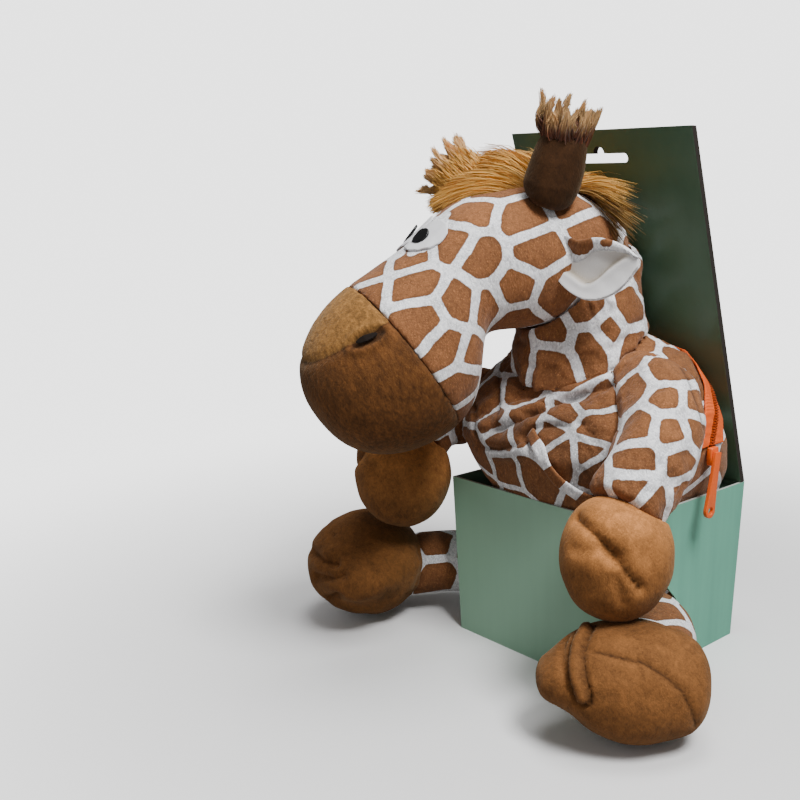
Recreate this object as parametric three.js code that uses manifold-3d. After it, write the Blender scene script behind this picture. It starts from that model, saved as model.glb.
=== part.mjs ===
// A plush giraffe backpack for a toddler, seated in its open display carton.
// Millimetres, +Z up. The origin is the middle of the carton's underside, its front faces -Y, and the
// giraffe's left side is +X. The head is turned a little to the giraffe's right.
import * as THREE from 'three';
import { mergeVertices } from 'three/addons/utils/BufferGeometryUtils.js';
import Module from 'manifold-3d';

const wasm = await Module();
wasm.setup();

const GAP = 0.3;

// Carton: the giraffe's shoulders stand out over its side walls
const TRUNK_WIDTH = 172;
const SHOULDER_OVERHANG = 8;
const CARTON_WIDTH = TRUNK_WIDTH - 2 * SHOULDER_OVERHANG;
const CARTON_DEPTH = 136;
const TRAY_HEIGHT = 116;
const TRAY_FLARE = 4.5;
const BOARD = 2;
const CARD_HEIGHT = 239;
const CARD_TOP = TRAY_HEIGHT + CARD_HEIGHT;
const CARD_LEAN = 71.5;
const CARD_THICKNESS = 4.5;
const SLOT_WIDTH = 48;
const SLOT_HEIGHT = 6;
const SLOT_BUMP = 9;
const SLOT_DROP = 18;
const HOLE_CLEARANCE = 3;

// Trunk and bag: the belly stands out over the tray's front, and the shoulders rise above its rim
const BELLY_OVERHANG = 12;
const BACK_CLEARANCE = 8;
const SHOULDER_RISE = 108;
const TRUNK_FRONT = CARTON_DEPTH / 2 + BELLY_OVERHANG;
const TRUNK_BACK = CARTON_DEPTH / 2 - BACK_CLEARANCE;
const TRUNK_HEIGHT = TRAY_HEIGHT + SHOULDER_RISE;
const BAG_WALL = 3;
const BAG_PLANE = 5;
const BAG_PLANE_RISE = 34;
const BAG_PLANE_HEIGHT = TRAY_HEIGHT + BAG_PLANE_RISE;
const BAG_PLANE_SLOPE = 0.42;
const FOLD_DEPTH = 5;

// Zip
const ZIP_OPENING = 8;
const ZIP_RISE = 37;
const ZIP_START = TRAY_HEIGHT + ZIP_RISE;
const TAPE_WIDTH = 11;
const TAPE_THICKNESS = 1.3;
const COIL_WIDTH = 4;
const COIL_THICKNESS = 2.4;
const SLIDER_LENGTH = 12;
const SLIDER_WIDTH = 9;
const SLIDER_THICKNESS = 4;
const PULL_LENGTH = 44;
const PULL_WIDTH = 10;
const PULL_THICKNESS = 2.6;
const PULL_HOLE = 5;
const PULL_SWING = 10;

// Neck and head
const NECK_RADIUS = 44;
const NECK_LENGTH = 52;
const CARD_TO_NECK = 35.6;
const HEAD_HEIGHT = TRUNK_HEIGHT + NECK_LENGTH;
const HEAD_YAW = 22;
const HEAD_REACH = 124;
const HEAD_DROP = 62;
const SKULL_RADIUS = 45;
const SNOUT_RADIUS = 56;
const SNOUT_PITCH = 35;
const MUZZLE_LENGTH = 66;
const FELT = 1.3;
const NOSTRIL_LENGTH = 20;
const NOSTRIL_WIDTH = 6;
const EYE_LENGTH = 34;
const EYE_WIDTH = 26;
const PUPIL_LENGTH = 13;
const PUPIL_WIDTH = 9;

// Horns, ears and mane
const HORN_LENGTH = 47;
const HORN_RADIUS = 19;
const HORN_DOME = 3;
const TUFT_LENGTH = 21;
const TUFT_LOCKS = 8;
const EAR_LENGTH = 60;
const EAR_WIDTH = 40;
const EAR_THICKNESS = 5;
const LINING_THICKNESS = 2;
const MANE_WIDTH = 18;
const MANE_BACKING = 5;
const MANE_LOCK = 27;
const MANE_LOCKS = 15;
const LOCK_SIDES = 5;
const LOCK_ROOT = 3;

// Limbs
const ARM_RADIUS = 27;
const LEFT_ARM_OUT = 97;
const RIGHT_ARM_OUT = 105;
const ARM_FORWARD = 86;
const SHOULDER_DROP = 27;
const SHOULDER_HEIGHT = TRUNK_HEIGHT - SHOULDER_DROP;
const RIGHT_SHOULDER_SAG = 26;
const HAND_RADIUS = 35;
const HAND_LENGTH = 60;
const LEG_RADIUS = 24;
const LEG_HEIGHT = 36;
const LEG_FORWARD = 26;
const FOOT_LENGTH = 102;
const FOOT_RADIUS = 37;
const LEFT_FOOT_OUT = 112;
const RIGHT_FOOT_OUT = 138;
const RIGHT_FOOT_SWELL = 1.12;
const FOOT_FORWARD = 103;
const FOOT_TURN = 45;
const LEFT_HAND_RAISE = 3;
const RIGHT_HAND_RAISE = 14;
const STRAP_WIDTH = 8;
const STRAP_THICKNESS = 2.4;

// Colours as the eye sees them on the object
const PATCH_BROWN = 0xa5693f;
const PLAIN_BROWN = 0x9a6437;
const MUZZLE_BROWN = 0x95602f;
const FUR_GOLD = 0xb9812f;
const FELT_WHITE = 0xe9e9ec;
const FELT_BLACK = 0x1d1c1b;
const ZIP_ORANGE = 0xf2640f;
const BOARD_GREEN = 0x6fa58a;

const CARD_BASE = TRAY_HEIGHT + GAP;
const SEAT = BOARD + GAP;
const NECK_Y = cardFace(HEAD_HEIGHT) - CARD_TO_NECK;
const UP = new THREE.Vector3(0, 0, 1);

function solidOf(geometry) {
  const bare = geometry.clone();
  bare.deleteAttribute('normal');
  bare.deleteAttribute('uv');
  const merged = mergeVertices(bare, 1e-4);
  const made = new wasm.Manifold(new wasm.Mesh({
    numProp: 3,
    vertProperties: merged.attributes.position.array,
    triVerts: new Uint32Array(merged.index.array),
  }));
  return made;
}

function geometryOf(solid) {
  const mesh = solid.getMesh();
  const geometry = new THREE.BufferGeometry();
  geometry.setAttribute('position', new THREE.BufferAttribute(mesh.vertProperties.slice(), 3));
  geometry.setIndex(new THREE.BufferAttribute(mesh.triVerts.slice(), 1));
  return geometry;
}

// The same solid with its skin moved outwards by a distance, or inwards where that is negative
function grown(solid, distance) {
  const geometry = geometryOf(solid);
  geometry.computeVertexNormals();
  const { position, normal } = geometry.attributes;
  for (let i = 0; i < position.count; i += 1) {
    position.setXYZ(
      i,
      position.getX(i) + normal.getX(i) * distance,
      position.getY(i) + normal.getY(i) * distance,
      position.getZ(i) + normal.getZ(i) * distance,
    );
  }
  return solidOf(geometry);
}

// A closed skin over rings of as many points each, with a point at either end
function loft(rings, first, last) {
  const sides = rings[0].length;
  const points = [first, ...rings.flat(), last];
  const end = points.length - 1;
  const faces = [];
  for (let i = 0; i < sides; i += 1) {
    const j = (i + 1) % sides;
    faces.push(0, 1 + j, 1 + i);
    for (let k = 0; k < rings.length - 1; k += 1) {
      const a = 1 + k * sides;
      const b = a + sides;
      faces.push(a + i, a + j, b + j);
      faces.push(a + i, b + j, b + i);
    }
    const top = 1 + (rings.length - 1) * sides;
    faces.push(end, top + i, top + j);
  }
  const geometry = new THREE.BufferGeometry().setFromPoints(points);
  geometry.setIndex(faces);
  return solidOf(geometry);
}

// Rows of numbers read between their own places, along a smooth curve through them
function between(rows, place) {
  const spot = place * (rows.length - 1);
  const i = Math.min(rows.length - 2, Math.floor(spot));
  const t = spot - i;
  const row = (k) => rows[Math.max(0, Math.min(rows.length - 1, k))];
  return rows[0].map((_, c) => {
    const [a, b, d, e] = [row(i - 1)[c], row(i)[c], row(i + 1)[c], row(i + 2)[c]];
    return b + 0.5 * t * (d - a + t * (2 * a - 5 * b + 4 * d - e + t * (3 * (b - d) + e - a)));
  });
}

// One ring of a section: its middle, the directions of its two half sizes and how square it is
function ring(middle, across, along, wide, deep, power, sides) {
  const points = [];
  for (let i = 0; i < sides; i += 1) {
    const angle = (2 * Math.PI * i) / sides;
    const c = Math.cos(angle);
    const s = Math.sin(angle);
    const u = Math.sign(c) * Math.abs(c) ** (2 / power) * wide;
    const v = Math.sign(s) * Math.abs(s) ** (2 / power) * deep;
    points.push(middle.clone().addScaledVector(across, u).addScaledVector(along, v));
  }
  return points;
}

// A stuffed limb through rows of x, y, z, half width and half depth, with rounded ends.
// Its half width lies across `level`, the direction that its sections are turned by.
function limb(rows, { sides, steps, level, domes, power = 2 }) {
  const middles = new THREE.CatmullRomCurve3(rows.map(([x, y, z]) => new THREE.Vector3(x, y, z)));
  const section = (place, slide, shrink) => {
    const [, , , wide, deep] = between(rows, place);
    const way = middles.getTangent(place);
    const across = new THREE.Vector3().crossVectors(level, way).normalize();
    const along = new THREE.Vector3().crossVectors(way, across);
    const middle = middles.getPoint(place).addScaledVector(way, slide);
    return ring(middle, across, along, wide * shrink, deep * shrink, power, sides);
  };
  const rings = [];
  const dome = [0.5, 0.85];
  for (const share of domes[0] > 0 ? [...dome].reverse() : []) {
    const swell = Math.sqrt(1 - share * share);
    rings.push(section(0, -domes[0] * share, swell));
  }
  for (let i = 0; i <= steps; i += 1) rings.push(section(i / steps, 0, 1));
  for (const share of dome) {
    const swell = Math.sqrt(1 - share * share);
    rings.push(section(1, domes[1] * share, swell));
  }
  const first = middles.getPoint(0).addScaledVector(middles.getTangent(0), -domes[0]);
  const last = middles.getPoint(1).addScaledVector(middles.getTangent(1), domes[1]);
  return loft(rings, first, last);
}

// Carton

// Walls lean out with height, the same for the outside and the inside
function flared(geometry) {
  const { position } = geometry.attributes;
  for (let i = 0; i < position.count; i += 1) {
    const lean = (TRAY_FLARE * position.getZ(i)) / TRAY_HEIGHT;
    position.setX(i, position.getX(i) + Math.sign(position.getX(i)) * lean);
    position.setY(i, position.getY(i) + Math.sign(position.getY(i)) * lean * 0.5);
  }
  return geometry;
}

function trayBox(inset, bottom, top) {
  const width = CARTON_WIDTH - 2 * (TRAY_FLARE + inset);
  const depth = CARTON_DEPTH - 2 * (TRAY_FLARE * 0.5 + inset);
  const box = new THREE.BoxGeometry(width, depth, top - bottom);
  return solidOf(flared(box.translate(0, 0, (top + bottom) / 2)));
}

function makeTray() {
  const inside = trayBox(BOARD, BOARD, TRAY_HEIGHT * 1.2);
  return trayBox(0, 0, TRAY_HEIGHT).subtract(inside);
}

// The back card stands on the tray's rear wall and leans forward over the giraffe
function makeCard() {
  const card = new THREE.BoxGeometry(CARTON_WIDTH, CARD_THICKNESS, CARD_TOP - CARD_BASE);
  card.translate(0, -CARD_THICKNESS / 2, (CARD_TOP + CARD_BASE) / 2);
  const slot = new THREE.Shape();
  const half = SLOT_WIDTH / 2;
  const end = SLOT_HEIGHT / 2;
  const middle = CARD_TOP - SLOT_DROP;
  slot.moveTo(-half + end, middle - end);
  slot.lineTo(half - end, middle - end);
  slot.absarc(half - end, middle, end, -Math.PI / 2, Math.PI / 2);
  slot.absarc(0, middle + end, SLOT_BUMP / 2, 0, Math.PI);
  slot.absarc(-half + end, middle, end, Math.PI / 2, 1.5 * Math.PI);
  const cutter = new THREE.ExtrudeGeometry(slot, {
    depth: CARD_THICKNESS * 3,
    bevelEnabled: false,
    curveSegments: 6,
  });
  cutter.rotateX(Math.PI / 2).translate(0, CARD_THICKNESS, 0);
  return leaned(solidOf(card).subtract(solidOf(cutter)));
}

// A solid drawn upright, with its back at y = 0, leaned as the card leans
function leaned(solid) {
  const geometry = geometryOf(solid);
  const { position } = geometry.attributes;
  for (let i = 0; i < position.count; i += 1) {
    position.setY(i, cardFace(position.getZ(i)) + CARD_THICKNESS + position.getY(i));
  }
  return solidOf(geometry);
}

// All that is behind the card's front face, and a gap in front of it
function behindCard() {
  const top = CARD_TOP * 1.2;
  const box = new THREE.BoxGeometry(CARTON_WIDTH * 2, CARTON_DEPTH, top - TRAY_HEIGHT);
  box.translate(0, CARTON_DEPTH / 2 - CARD_THICKNESS - GAP, (top + TRAY_HEIGHT) / 2);
  return leaned(solidOf(box));
}

// Depth of the card's front face at a height
function cardFace(z) {
  return CARTON_DEPTH / 2 - CARD_THICKNESS - (CARD_LEAN * Math.max(0, z - TRAY_HEIGHT)) / CARD_HEIGHT;
}

// Trunk

// Sections of the trunk: height, half width, front and back as shares, and how square it is in front
// and behind
const TRUNK_ROWS = [
  [0.0, 0.6, 0.5, 0.62, 2.6, 3],
  [0.05, 0.79, 0.74, 0.94, 3, 5],
  [0.3, 0.82, 0.76, 0.98, 3.2, 7],
  [0.5, 0.84, 0.77, 0.98, 3.2, 8],
  [0.57, 0.93, 0.88, 0.96, 3, 8],
  [0.67, 1.0, 1.02, 0.88, 2.8, 6],
  [0.78, 0.97, 0.93, 0.73, 2.6, 5],
  [0.86, 0.9, 0.7, 0.6, 2.5, 4.5],
  [0.94, 0.76, 0.45, 0.48, 2.3, 4],
  [1.0, 0.46, 0.22, 0.24, 2, 3],
];

function trunkSection(z) {
  const share = (z - SEAT) / (TRUNK_HEIGHT - SEAT);
  let i = 0;
  while (i < TRUNK_ROWS.length - 2 && TRUNK_ROWS[i + 1][0] < share) i += 1;
  const [low, high] = [TRUNK_ROWS[i], TRUNK_ROWS[i + 1]];
  const t = (share - low[0]) / (high[0] - low[0]);
  const [, wide, front, back, squareFront, squareBack] = low.map((v, c) => v + t * (high[c] - v));
  return {
    wide: (wide * TRUNK_WIDTH) / 2,
    front: front * TRUNK_FRONT,
    back: back * TRUNK_BACK,
    squareFront,
    squareBack,
  };
}

// Half width of the trunk at a depth and a height
function trunkSide(y, z) {
  const { wide, front, back, squareFront, squareBack } = trunkSection(z);
  const middle = (back - front) / 2;
  const reach = (back + front) / 2;
  const power = y < middle ? squareFront : squareBack;
  return wide * (1 - Math.min(1, Math.abs((y - middle) / reach)) ** power) ** (1 / power);
}

function makeTrunk() {
  const sides = 24;
  const heights = TRUNK_ROWS.map(([share]) => SEAT + share * (TRUNK_HEIGHT - SEAT));
  const rings = heights.map((z) => {
    const { wide, front, back, squareFront, squareBack } = trunkSection(z);
    const middle = (back - front) / 2;
    const reach = (back + front) / 2;
    return Array.from({ length: sides }, (_, i) => {
      const angle = (2 * Math.PI * i) / sides;
      const c = Math.cos(angle);
      const s = Math.sin(angle);
      const power = 2 / (s < 0 ? squareFront : squareBack);
      return new THREE.Vector3(
        Math.sign(c) * Math.abs(c) ** power * wide,
        middle + Math.sign(s) * Math.abs(s) ** power * reach,
        z,
      );
    });
  });
  return loft(rings, new THREE.Vector3(0, 0, SEAT), new THREE.Vector3(0, NECK_Y, TRUNK_HEIGHT));
}

// Everything behind the leaning plane of the bag's mouth, moved back by an offset, above a height
function behindMouth(offset, bottom = -TRAY_HEIGHT) {
  const size = CARD_TOP * 2;
  const box = new THREE.BoxGeometry(size, size, size);
  box.translate(0, size / 2 + offset, 0);
  box.rotateX(-Math.atan(BAG_PLANE_SLOPE));
  box.translate(0, BAG_PLANE, BAG_PLANE_HEIGHT);
  const above = new THREE.BoxGeometry(size, size, size).translate(0, 0, bottom + size / 2);
  return solidOf(box).intersect(solidOf(above));
}

// The puckered folds of the belly: height, depth, half length and slope of each groove as shares
const FOLD_ROWS = [
  [0.83, 1.0, 0.62, 0.1],
  [0.72, 0.8, 0.55, -0.16],
  [0.63, 0.7, 0.4, 0.2],
];

function foldGrooves() {
  return FOLD_ROWS.map(([height, depth, length, slope]) => {
    const reach = length * TRUNK_WIDTH * 0.5;
    const rows = [-1, -0.5, 0, 0.5, 1].map((share) => {
      const x = share * reach;
      const z = height * TRUNK_HEIGHT + slope * x;
      const { wide, front, back, squareFront } = trunkSection(z);
      const middle = (back - front) / 2;
      const bulge = (1 - Math.min(1, Math.abs(x / wide)) ** squareFront) ** (1 / squareFront);
      const y = middle - ((back + front) / 2) * bulge;
      const thick = FOLD_DEPTH * depth * (1 - 0.6 * share * share);
      return [x, y, z, thick, thick];
    });
    return limb(rows, { sides: 8, steps: 8, level: UP, domes: [FOLD_DEPTH, FOLD_DEPTH] });
  });
}

// Neck and head

const NECK_ROWS = [
  [0.0, 0.1, 1.22, 1.1],
  [0.35, 0.05, 1.14, 1.03],
  [0.65, 0.0, 1.0, 0.96],
  [1.0, 0.0, 0.88, 0.9],
];

function makeNeck() {
  const low = TRUNK_HEIGHT * 0.8;
  const rows = NECK_ROWS.map(([height, back, wide, deep]) => [
    0,
    NECK_Y + back * NECK_RADIUS,
    low + height * (HEAD_HEIGHT - low),
    wide * NECK_RADIUS,
    deep * NECK_RADIUS,
  ]);
  const level = new THREE.Vector3(0, -1, 0);
  return limb(rows, { sides: 16, steps: 4, level, domes: [NECK_RADIUS * 0.1, NECK_RADIUS * 0.27] });
}

const yaw = THREE.MathUtils.degToRad(HEAD_YAW);
const FORWARD = new THREE.Vector3(-Math.sin(yaw), -Math.cos(yaw), 0);
const SIDE = new THREE.Vector3(Math.cos(yaw), -Math.sin(yaw), 0);

// A place on the head: forwards from the neck's middle, to the giraffe's left, and up
function onHead(forward, side, up) {
  return new THREE.Vector3(0, NECK_Y, HEAD_HEIGHT)
    .addScaledVector(FORWARD, forward)
    .addScaledVector(SIDE, side)
    .addScaledVector(UP, up);
}

// Sections of the head: forwards and down as shares, how far each faces down as a share, and what
// share of the skull's and of the snout's radius it has
const HEAD_ROWS = [
  [-0.02, -0.03, 0.05, 0.82, 0.0],
  [0.22, 0.02, -0.03, 1.02, 0.0],
  [0.48, 0.05, -0.03, 1.0, 0.0],
  [0.66, 0.15, 0.26, 0.8, 0.12],
  [0.75, 0.43, 0.57, 0.5, 0.42],
  [0.83, 0.72, 0.72, 0.22, 0.76],
  [1.0, 1.0, 1.0, 0.0, 1.0],
];

function headRing(row, slide, shrink, sides) {
  const [forward, down, facing, skull, snout] = row;
  const pitch = THREE.MathUtils.degToRad(facing * SNOUT_PITCH);
  const way = FORWARD.clone().multiplyScalar(Math.cos(pitch)).addScaledVector(UP, -Math.sin(pitch));
  const rise = new THREE.Vector3().crossVectors(way, SIDE).normalize();
  const radius = skull * SKULL_RADIUS + snout * SNOUT_RADIUS;
  const middle = onHead(forward * HEAD_REACH, 0, -down * HEAD_DROP).addScaledVector(way, slide);
  return { middle, way, points: ring(middle, SIDE, rise, radius * shrink, radius * shrink, 2, sides) };
}

const HEAD_SIDES = 22;

function makeHead() {
  const rings = [];
  const crown = SKULL_RADIUS * 0.62;
  for (const share of [0.8, 0.5, 0.2]) {
    const swell = Math.sqrt(1 - share * share);
    rings.push(headRing(HEAD_ROWS[0], -crown * share, swell, HEAD_SIDES).points);
  }
  const steps = 12;
  for (let i = 0; i <= steps; i += 1) {
    rings.push(headRing(between(HEAD_ROWS, i / steps), 0, 1, HEAD_SIDES).points);
  }
  const back = headRing(HEAD_ROWS[0], -crown * 0.95, 1, HEAD_SIDES).middle;
  const front = headRing(HEAD_ROWS.at(-1), 0, 1, HEAD_SIDES).middle;
  return loft(rings, back, front);
}

// The muzzle domes forward from the seam ring at the front of the head
function makeMuzzle() {
  const seam = HEAD_ROWS.at(-1);
  const rings = [];
  for (const angle of [0, 14, 28, 42, 55, 67, 78]) {
    const turn = THREE.MathUtils.degToRad(angle);
    const slide = GAP + MUZZLE_LENGTH * Math.sin(turn) ** 0.95;
    rings.push(headRing(seam, slide, Math.cos(turn) ** 0.85, HEAD_SIDES).points);
  }
  const tip = headRing(seam, GAP + MUZZLE_LENGTH, 1, HEAD_SIDES).middle;
  const root = headRing(seam, GAP, 1, HEAD_SIDES).middle;
  return loft(rings, root, tip);
}

// A patch of felt that lies on a surface: where it looks, its sizes, its turn and its two faces' heights
function patchOn(surface, from, facing, length, width, turn, low, high) {
  const prism = new THREE.CylinderGeometry(width / 2, width / 2, SNOUT_RADIUS, 12);
  prism.scale(length / width, 1, 1).rotateY(turn).translate(0, SNOUT_RADIUS * 1.15, 0);
  const turned = new THREE.Quaternion().setFromUnitVectors(new THREE.Vector3(0, 1, 0), facing);
  prism.applyQuaternion(turned).translate(from.x, from.y, from.z);
  return grown(surface, high).subtract(grown(surface, low)).intersect(solidOf(prism));
}

function headWay(forward, side, up) {
  return onHead(forward, side, up).sub(onHead(0, 0, 0)).normalize();
}

// The half of space on one side of the head's middle plane, half a gap clear of it
function besideMiddle(side) {
  const size = HEAD_REACH * 4;
  const box = new THREE.BoxGeometry(size, size, size).translate(side * (size + GAP) * 0.5, 0, 0);
  const middle = onHead(0, 0, 0);
  return solidOf(box.rotateZ(-yaw).translate(middle.x, middle.y, middle.z));
}

function makeEye(head, side) {
  const from = onHead(HEAD_REACH * 0.7, 0, -HEAD_DROP * 0.3);
  const facing = headWay(0.6, 0.27 * side, 0.8);
  const white = patchOn(head, from, facing, EYE_LENGTH, EYE_WIDTH, 0.3 * side, GAP, GAP + FELT);
  const pupilWay = headWay(0.66, 0.25 * side, 0.78);
  const lift = 2 * GAP + FELT;
  const pupil = patchOn(head, from, pupilWay, PUPIL_LENGTH, PUPIL_WIDTH, 0.3 * side, lift, lift + FELT);
  return { white: white.intersect(besideMiddle(side)), pupil };
}

function makeNostril(muzzle, side) {
  const from = onHead(HEAD_REACH, 0, -HEAD_DROP);
  const facing = headWay(0.6, 0.75 * side, 0.35);
  return patchOn(muzzle, from, facing, NOSTRIL_LENGTH, NOSTRIL_WIDTH, -0.7 * side, GAP, GAP + FELT);
}

// Horns: the left one stands up, the right one flops forwards and outwards. For each, the base and
// the tip are forwards, side and up, as shares of the skull's radius and of the horn's length.
const HORNS = {
  left: { base: [0.8, 0.6, 0.6], lean: [-0.13, 0.22, 0.97] },
  right: { base: [0.95, -0.6, 0.5], lean: [0.47, -0.7, 0.58] },
};

function hornLine({ base, lean }) {
  const root = onHead(...base.map((v) => v * SKULL_RADIUS));
  return { root, way: headWay(...lean) };
}

function hornRows(horn, start, end, thick) {
  const { root, way } = hornLine(horn);
  return thick.map((share, i) => {
    const along = start + ((end - start) * i) / (thick.length - 1);
    const { x, y, z } = root.clone().addScaledVector(way, along);
    return [x, y, z, share * HORN_RADIUS, share * HORN_RADIUS * 0.94];
  });
}

function makeHorn(horn) {
  const rows = hornRows(horn, 0, HORN_LENGTH, [1.05, 1, 0.95, 0.9]);
  return limb(rows, { sides: 12, steps: 3, level: FORWARD, domes: [HORN_DOME, HORN_DOME] });
}

// A lock of fur from a root, with a bend at its middle, that narrows to its tip
function lock(root, tip, bend, radius) {
  const way = tip.clone().sub(root).normalize();
  const across = new THREE.Vector3().crossVectors(way, new THREE.Vector3(0.31, 0.87, 0.38)).normalize();
  const along = new THREE.Vector3().crossVectors(way, across);
  const rings = [
    [0, 1],
    [0.5, 0.85],
  ].map(([share, thick]) => {
    const middle = root.clone().lerp(tip, share).addScaledVector(bend, 2 * share);
    return ring(middle, across, along, radius * thick, radius * thick * 0.75, 2, LOCK_SIDES);
  });
  return loft(rings, root, tip);
}

function makeTuft(horn) {
  const { root, way } = hornLine(horn);
  const foot = HORN_LENGTH + HORN_DOME + GAP;
  const core = hornRows(horn, foot, foot + TUFT_LENGTH * 0.3, [0.86, 0.7]);
  let tuft = limb(core, { sides: 8, steps: 1, level: FORWARD, domes: [0, HORN_RADIUS * 0.24] });
  const across = new THREE.Vector3().crossVectors(FORWARD, way).normalize();
  const along = new THREE.Vector3().crossVectors(way, across);
  for (let i = 0; i < TUFT_LOCKS; i += 1) {
    const angle = (2 * Math.PI * i) / TUFT_LOCKS;
    const out = across.clone().multiplyScalar(Math.cos(angle)).addScaledVector(along, Math.sin(angle));
    const base = root.clone().addScaledVector(way, foot + LOCK_ROOT).addScaledVector(out, HORN_RADIUS * 0.5);
    const reach = TUFT_LENGTH * (0.82 + 0.18 * Math.cos(3 * angle));
    const tip = base.clone().addScaledVector(way, reach).addScaledVector(out, HORN_RADIUS * 0.48);
    tuft = tuft.add(lock(base, tip, out.clone().multiplyScalar(HORN_RADIUS * 0.12), HORN_RADIUS * 0.3));
  }
  return tuft;
}

// Ears: leaf sections from root to tip, their half width as shares
const EAR_ROWS = [0.4, 0.82, 1, 0.95, 0.72, 0.3];

function earLeaf(side, forward, width, thickness, start, end) {
  const root = onHead(SKULL_RADIUS * 0.86, side * SKULL_RADIUS * 0.82, -SKULL_RADIUS * 0.12);
  const out = headWay(-0.62, side * 0.78, 0.04);
  const front = headWay(0.75, side * 0.62, 0.12);
  const rows = EAR_ROWS.map((share, i) => {
    const along = start + ((end - start) * i) / (EAR_ROWS.length - 1);
    const { x, y, z } = root.clone().addScaledVector(out, along).addScaledVector(front, forward);
    return [x, y, z, share * width * 0.5, thickness / 2];
  });
  const domes = [EAR_LENGTH * 0.05, EAR_LENGTH * 0.05];
  return limb(rows, { sides: 10, steps: 6, level: front, domes, power: 2.4 });
}

function makeEar(side) {
  const shift = (EAR_THICKNESS + LINING_THICKNESS) / 2 + GAP;
  const ear = earLeaf(side, 0, EAR_WIDTH, EAR_THICKNESS, 0, EAR_LENGTH);
  const [start, end] = [0.1 * EAR_LENGTH, 0.94 * EAR_LENGTH];
  const lining = earLeaf(side, shift, EAR_WIDTH * 0.84, LINING_THICKNESS, start, end);
  return { ear, lining };
}

// The mane runs from the forelock over the crown and down behind the neck: the backing's course is
// forwards and up as shares of the skull's radius, then the lean of its locks
const MANE_ROWS = [
  [1.22, 1.0, 0.45, 0.7],
  [1.0, 1.02, 0.35, 0.8],
  [0.6, 1.02, 0.1, 0.9],
  [0.2, 0.97, -0.3, 0.85],
  [-0.15, 0.84, -0.5, 0.7],
  [-0.45, 0.6, -0.4, 0.5],
];

function makeMane() {
  const spot = (place) => {
    const [forward, up, leanForward, leanUp] = between(MANE_ROWS, place);
    const at = onHead(forward * SKULL_RADIUS, 0, up * SKULL_RADIUS);
    return { at, lean: headWay(leanForward, 0, leanUp) };
  };
  const steps = 7;
  const rows = [];
  for (let i = 0; i <= steps; i += 1) {
    const { x, y, z } = spot(i / steps).at;
    rows.push([x, y, z, MANE_WIDTH / 2, MANE_BACKING]);
  }
  const domes = [MANE_BACKING * 0.6, MANE_BACKING * 0.6];
  let mane = limb(rows, { sides: 8, steps, level: SIDE.clone().negate().cross(UP), domes });
  for (let i = 0; i < MANE_LOCKS; i += 1) {
    const place = (i + 0.3) / MANE_LOCKS;
    const { at, lean } = spot(place);
    const sway = Math.sin(i * 2.4) * MANE_WIDTH * 0.4;
    const root = at.clone().addScaledVector(SIDE, sway * 0.6);
    const reach = MANE_LOCK * (0.85 + 0.15 * Math.cos(i * 1.9)) * (1 - 0.4 * place);
    const tip = root.clone().addScaledVector(lean, reach).addScaledVector(SIDE, sway);
    mane = mane.add(lock(root, tip, SIDE.clone().multiplyScalar(sway * 0.2), MANE_WIDTH * 0.4));
  }
  return mane;
}

// Limbs: each is made for the left side and mirrored for the right

// Arm: outwards, forwards and height as shares, then thickness, and how much of the hand's raise it has
const ARM_ROWS = [
  [0.5, 0.24, 1.0, 0.78, 0],
  [0.74, 0.36, 0.97, 0.95, 0],
  [0.92, 0.52, 0.89, 1.02, 0.3],
  [0.98, 0.74, 0.775, 1.0, 0.7],
  [0.97, 0.96, 0.67, 0.98, 1],
];

function makeArm({ side, armOut, raise, sag }) {
  const rows = ARM_ROWS.map(([out, forward, height, thick, lift]) => [
    side * out * armOut,
    -forward * ARM_FORWARD,
    height * SHOULDER_HEIGHT + lift * raise - (1 - lift) * sag,
    thick * ARM_RADIUS,
    thick * ARM_RADIUS,
  ]);
  return limb(rows, { sides: 12, steps: 8, level: UP, domes: [ARM_RADIUS * 0.37, ARM_RADIUS * 0.22] });
}

// Hand: down and forwards from the wrist, and its half width and half depth, as shares
const HAND_ROWS = [
  [0.0, 0.0, 0.86, 0.82],
  [0.3, 0.12, 1.0, 0.92],
  [0.6, 0.2, 1.02, 0.95],
  [0.85, 0.24, 0.82, 0.76],
];

function makeHand({ side, armOut, raise }) {
  const [out, forward, height] = ARM_ROWS.at(-1);
  const rows = HAND_ROWS.map(([down, ahead, wide, deep]) => [
    side * (out * armOut + down * HAND_RADIUS * 0.11),
    -forward * ARM_FORWARD - ahead * HAND_LENGTH,
    height * SHOULDER_HEIGHT + raise - down * HAND_LENGTH,
    wide * HAND_RADIUS,
    deep * HAND_RADIUS,
  ]);
  const level = new THREE.Vector3(0, -1, 0);
  return limb(rows, { sides: 14, steps: 5, level, domes: [HAND_RADIUS * 0.14, HAND_RADIUS * 0.45] });
}

function makeLeg({ side, footOut }) {
  const rows = [
    [0.42, 0],
    [0.66, 0.02],
    [0.82, 0.16],
    [0.95, 0.45],
  ].map(([out, forward]) => [
    side * out * footOut,
    -LEG_FORWARD - forward * FOOT_FORWARD,
    LEG_HEIGHT,
    LEG_RADIUS,
    LEG_RADIUS,
  ]);
  return limb(rows, { sides: 12, steps: 6, level: UP, domes: [LEG_RADIUS * 0.2, LEG_RADIUS * 0.2] });
}

// Foot: from heel to toe along a line that turns in towards the carton's front, its height, and its
// half width and half height, as shares
const FOOT_ROWS = [
  [0.32, 0.92, 0.86, 0.82],
  [0.12, 1.0, 1.06, 0.96],
  [-0.1, 1.08, 1.04, 0.92],
  [-0.28, 1.12, 0.84, 0.66],
  [-0.4, 1.08, 0.56, 0.4],
];

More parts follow.
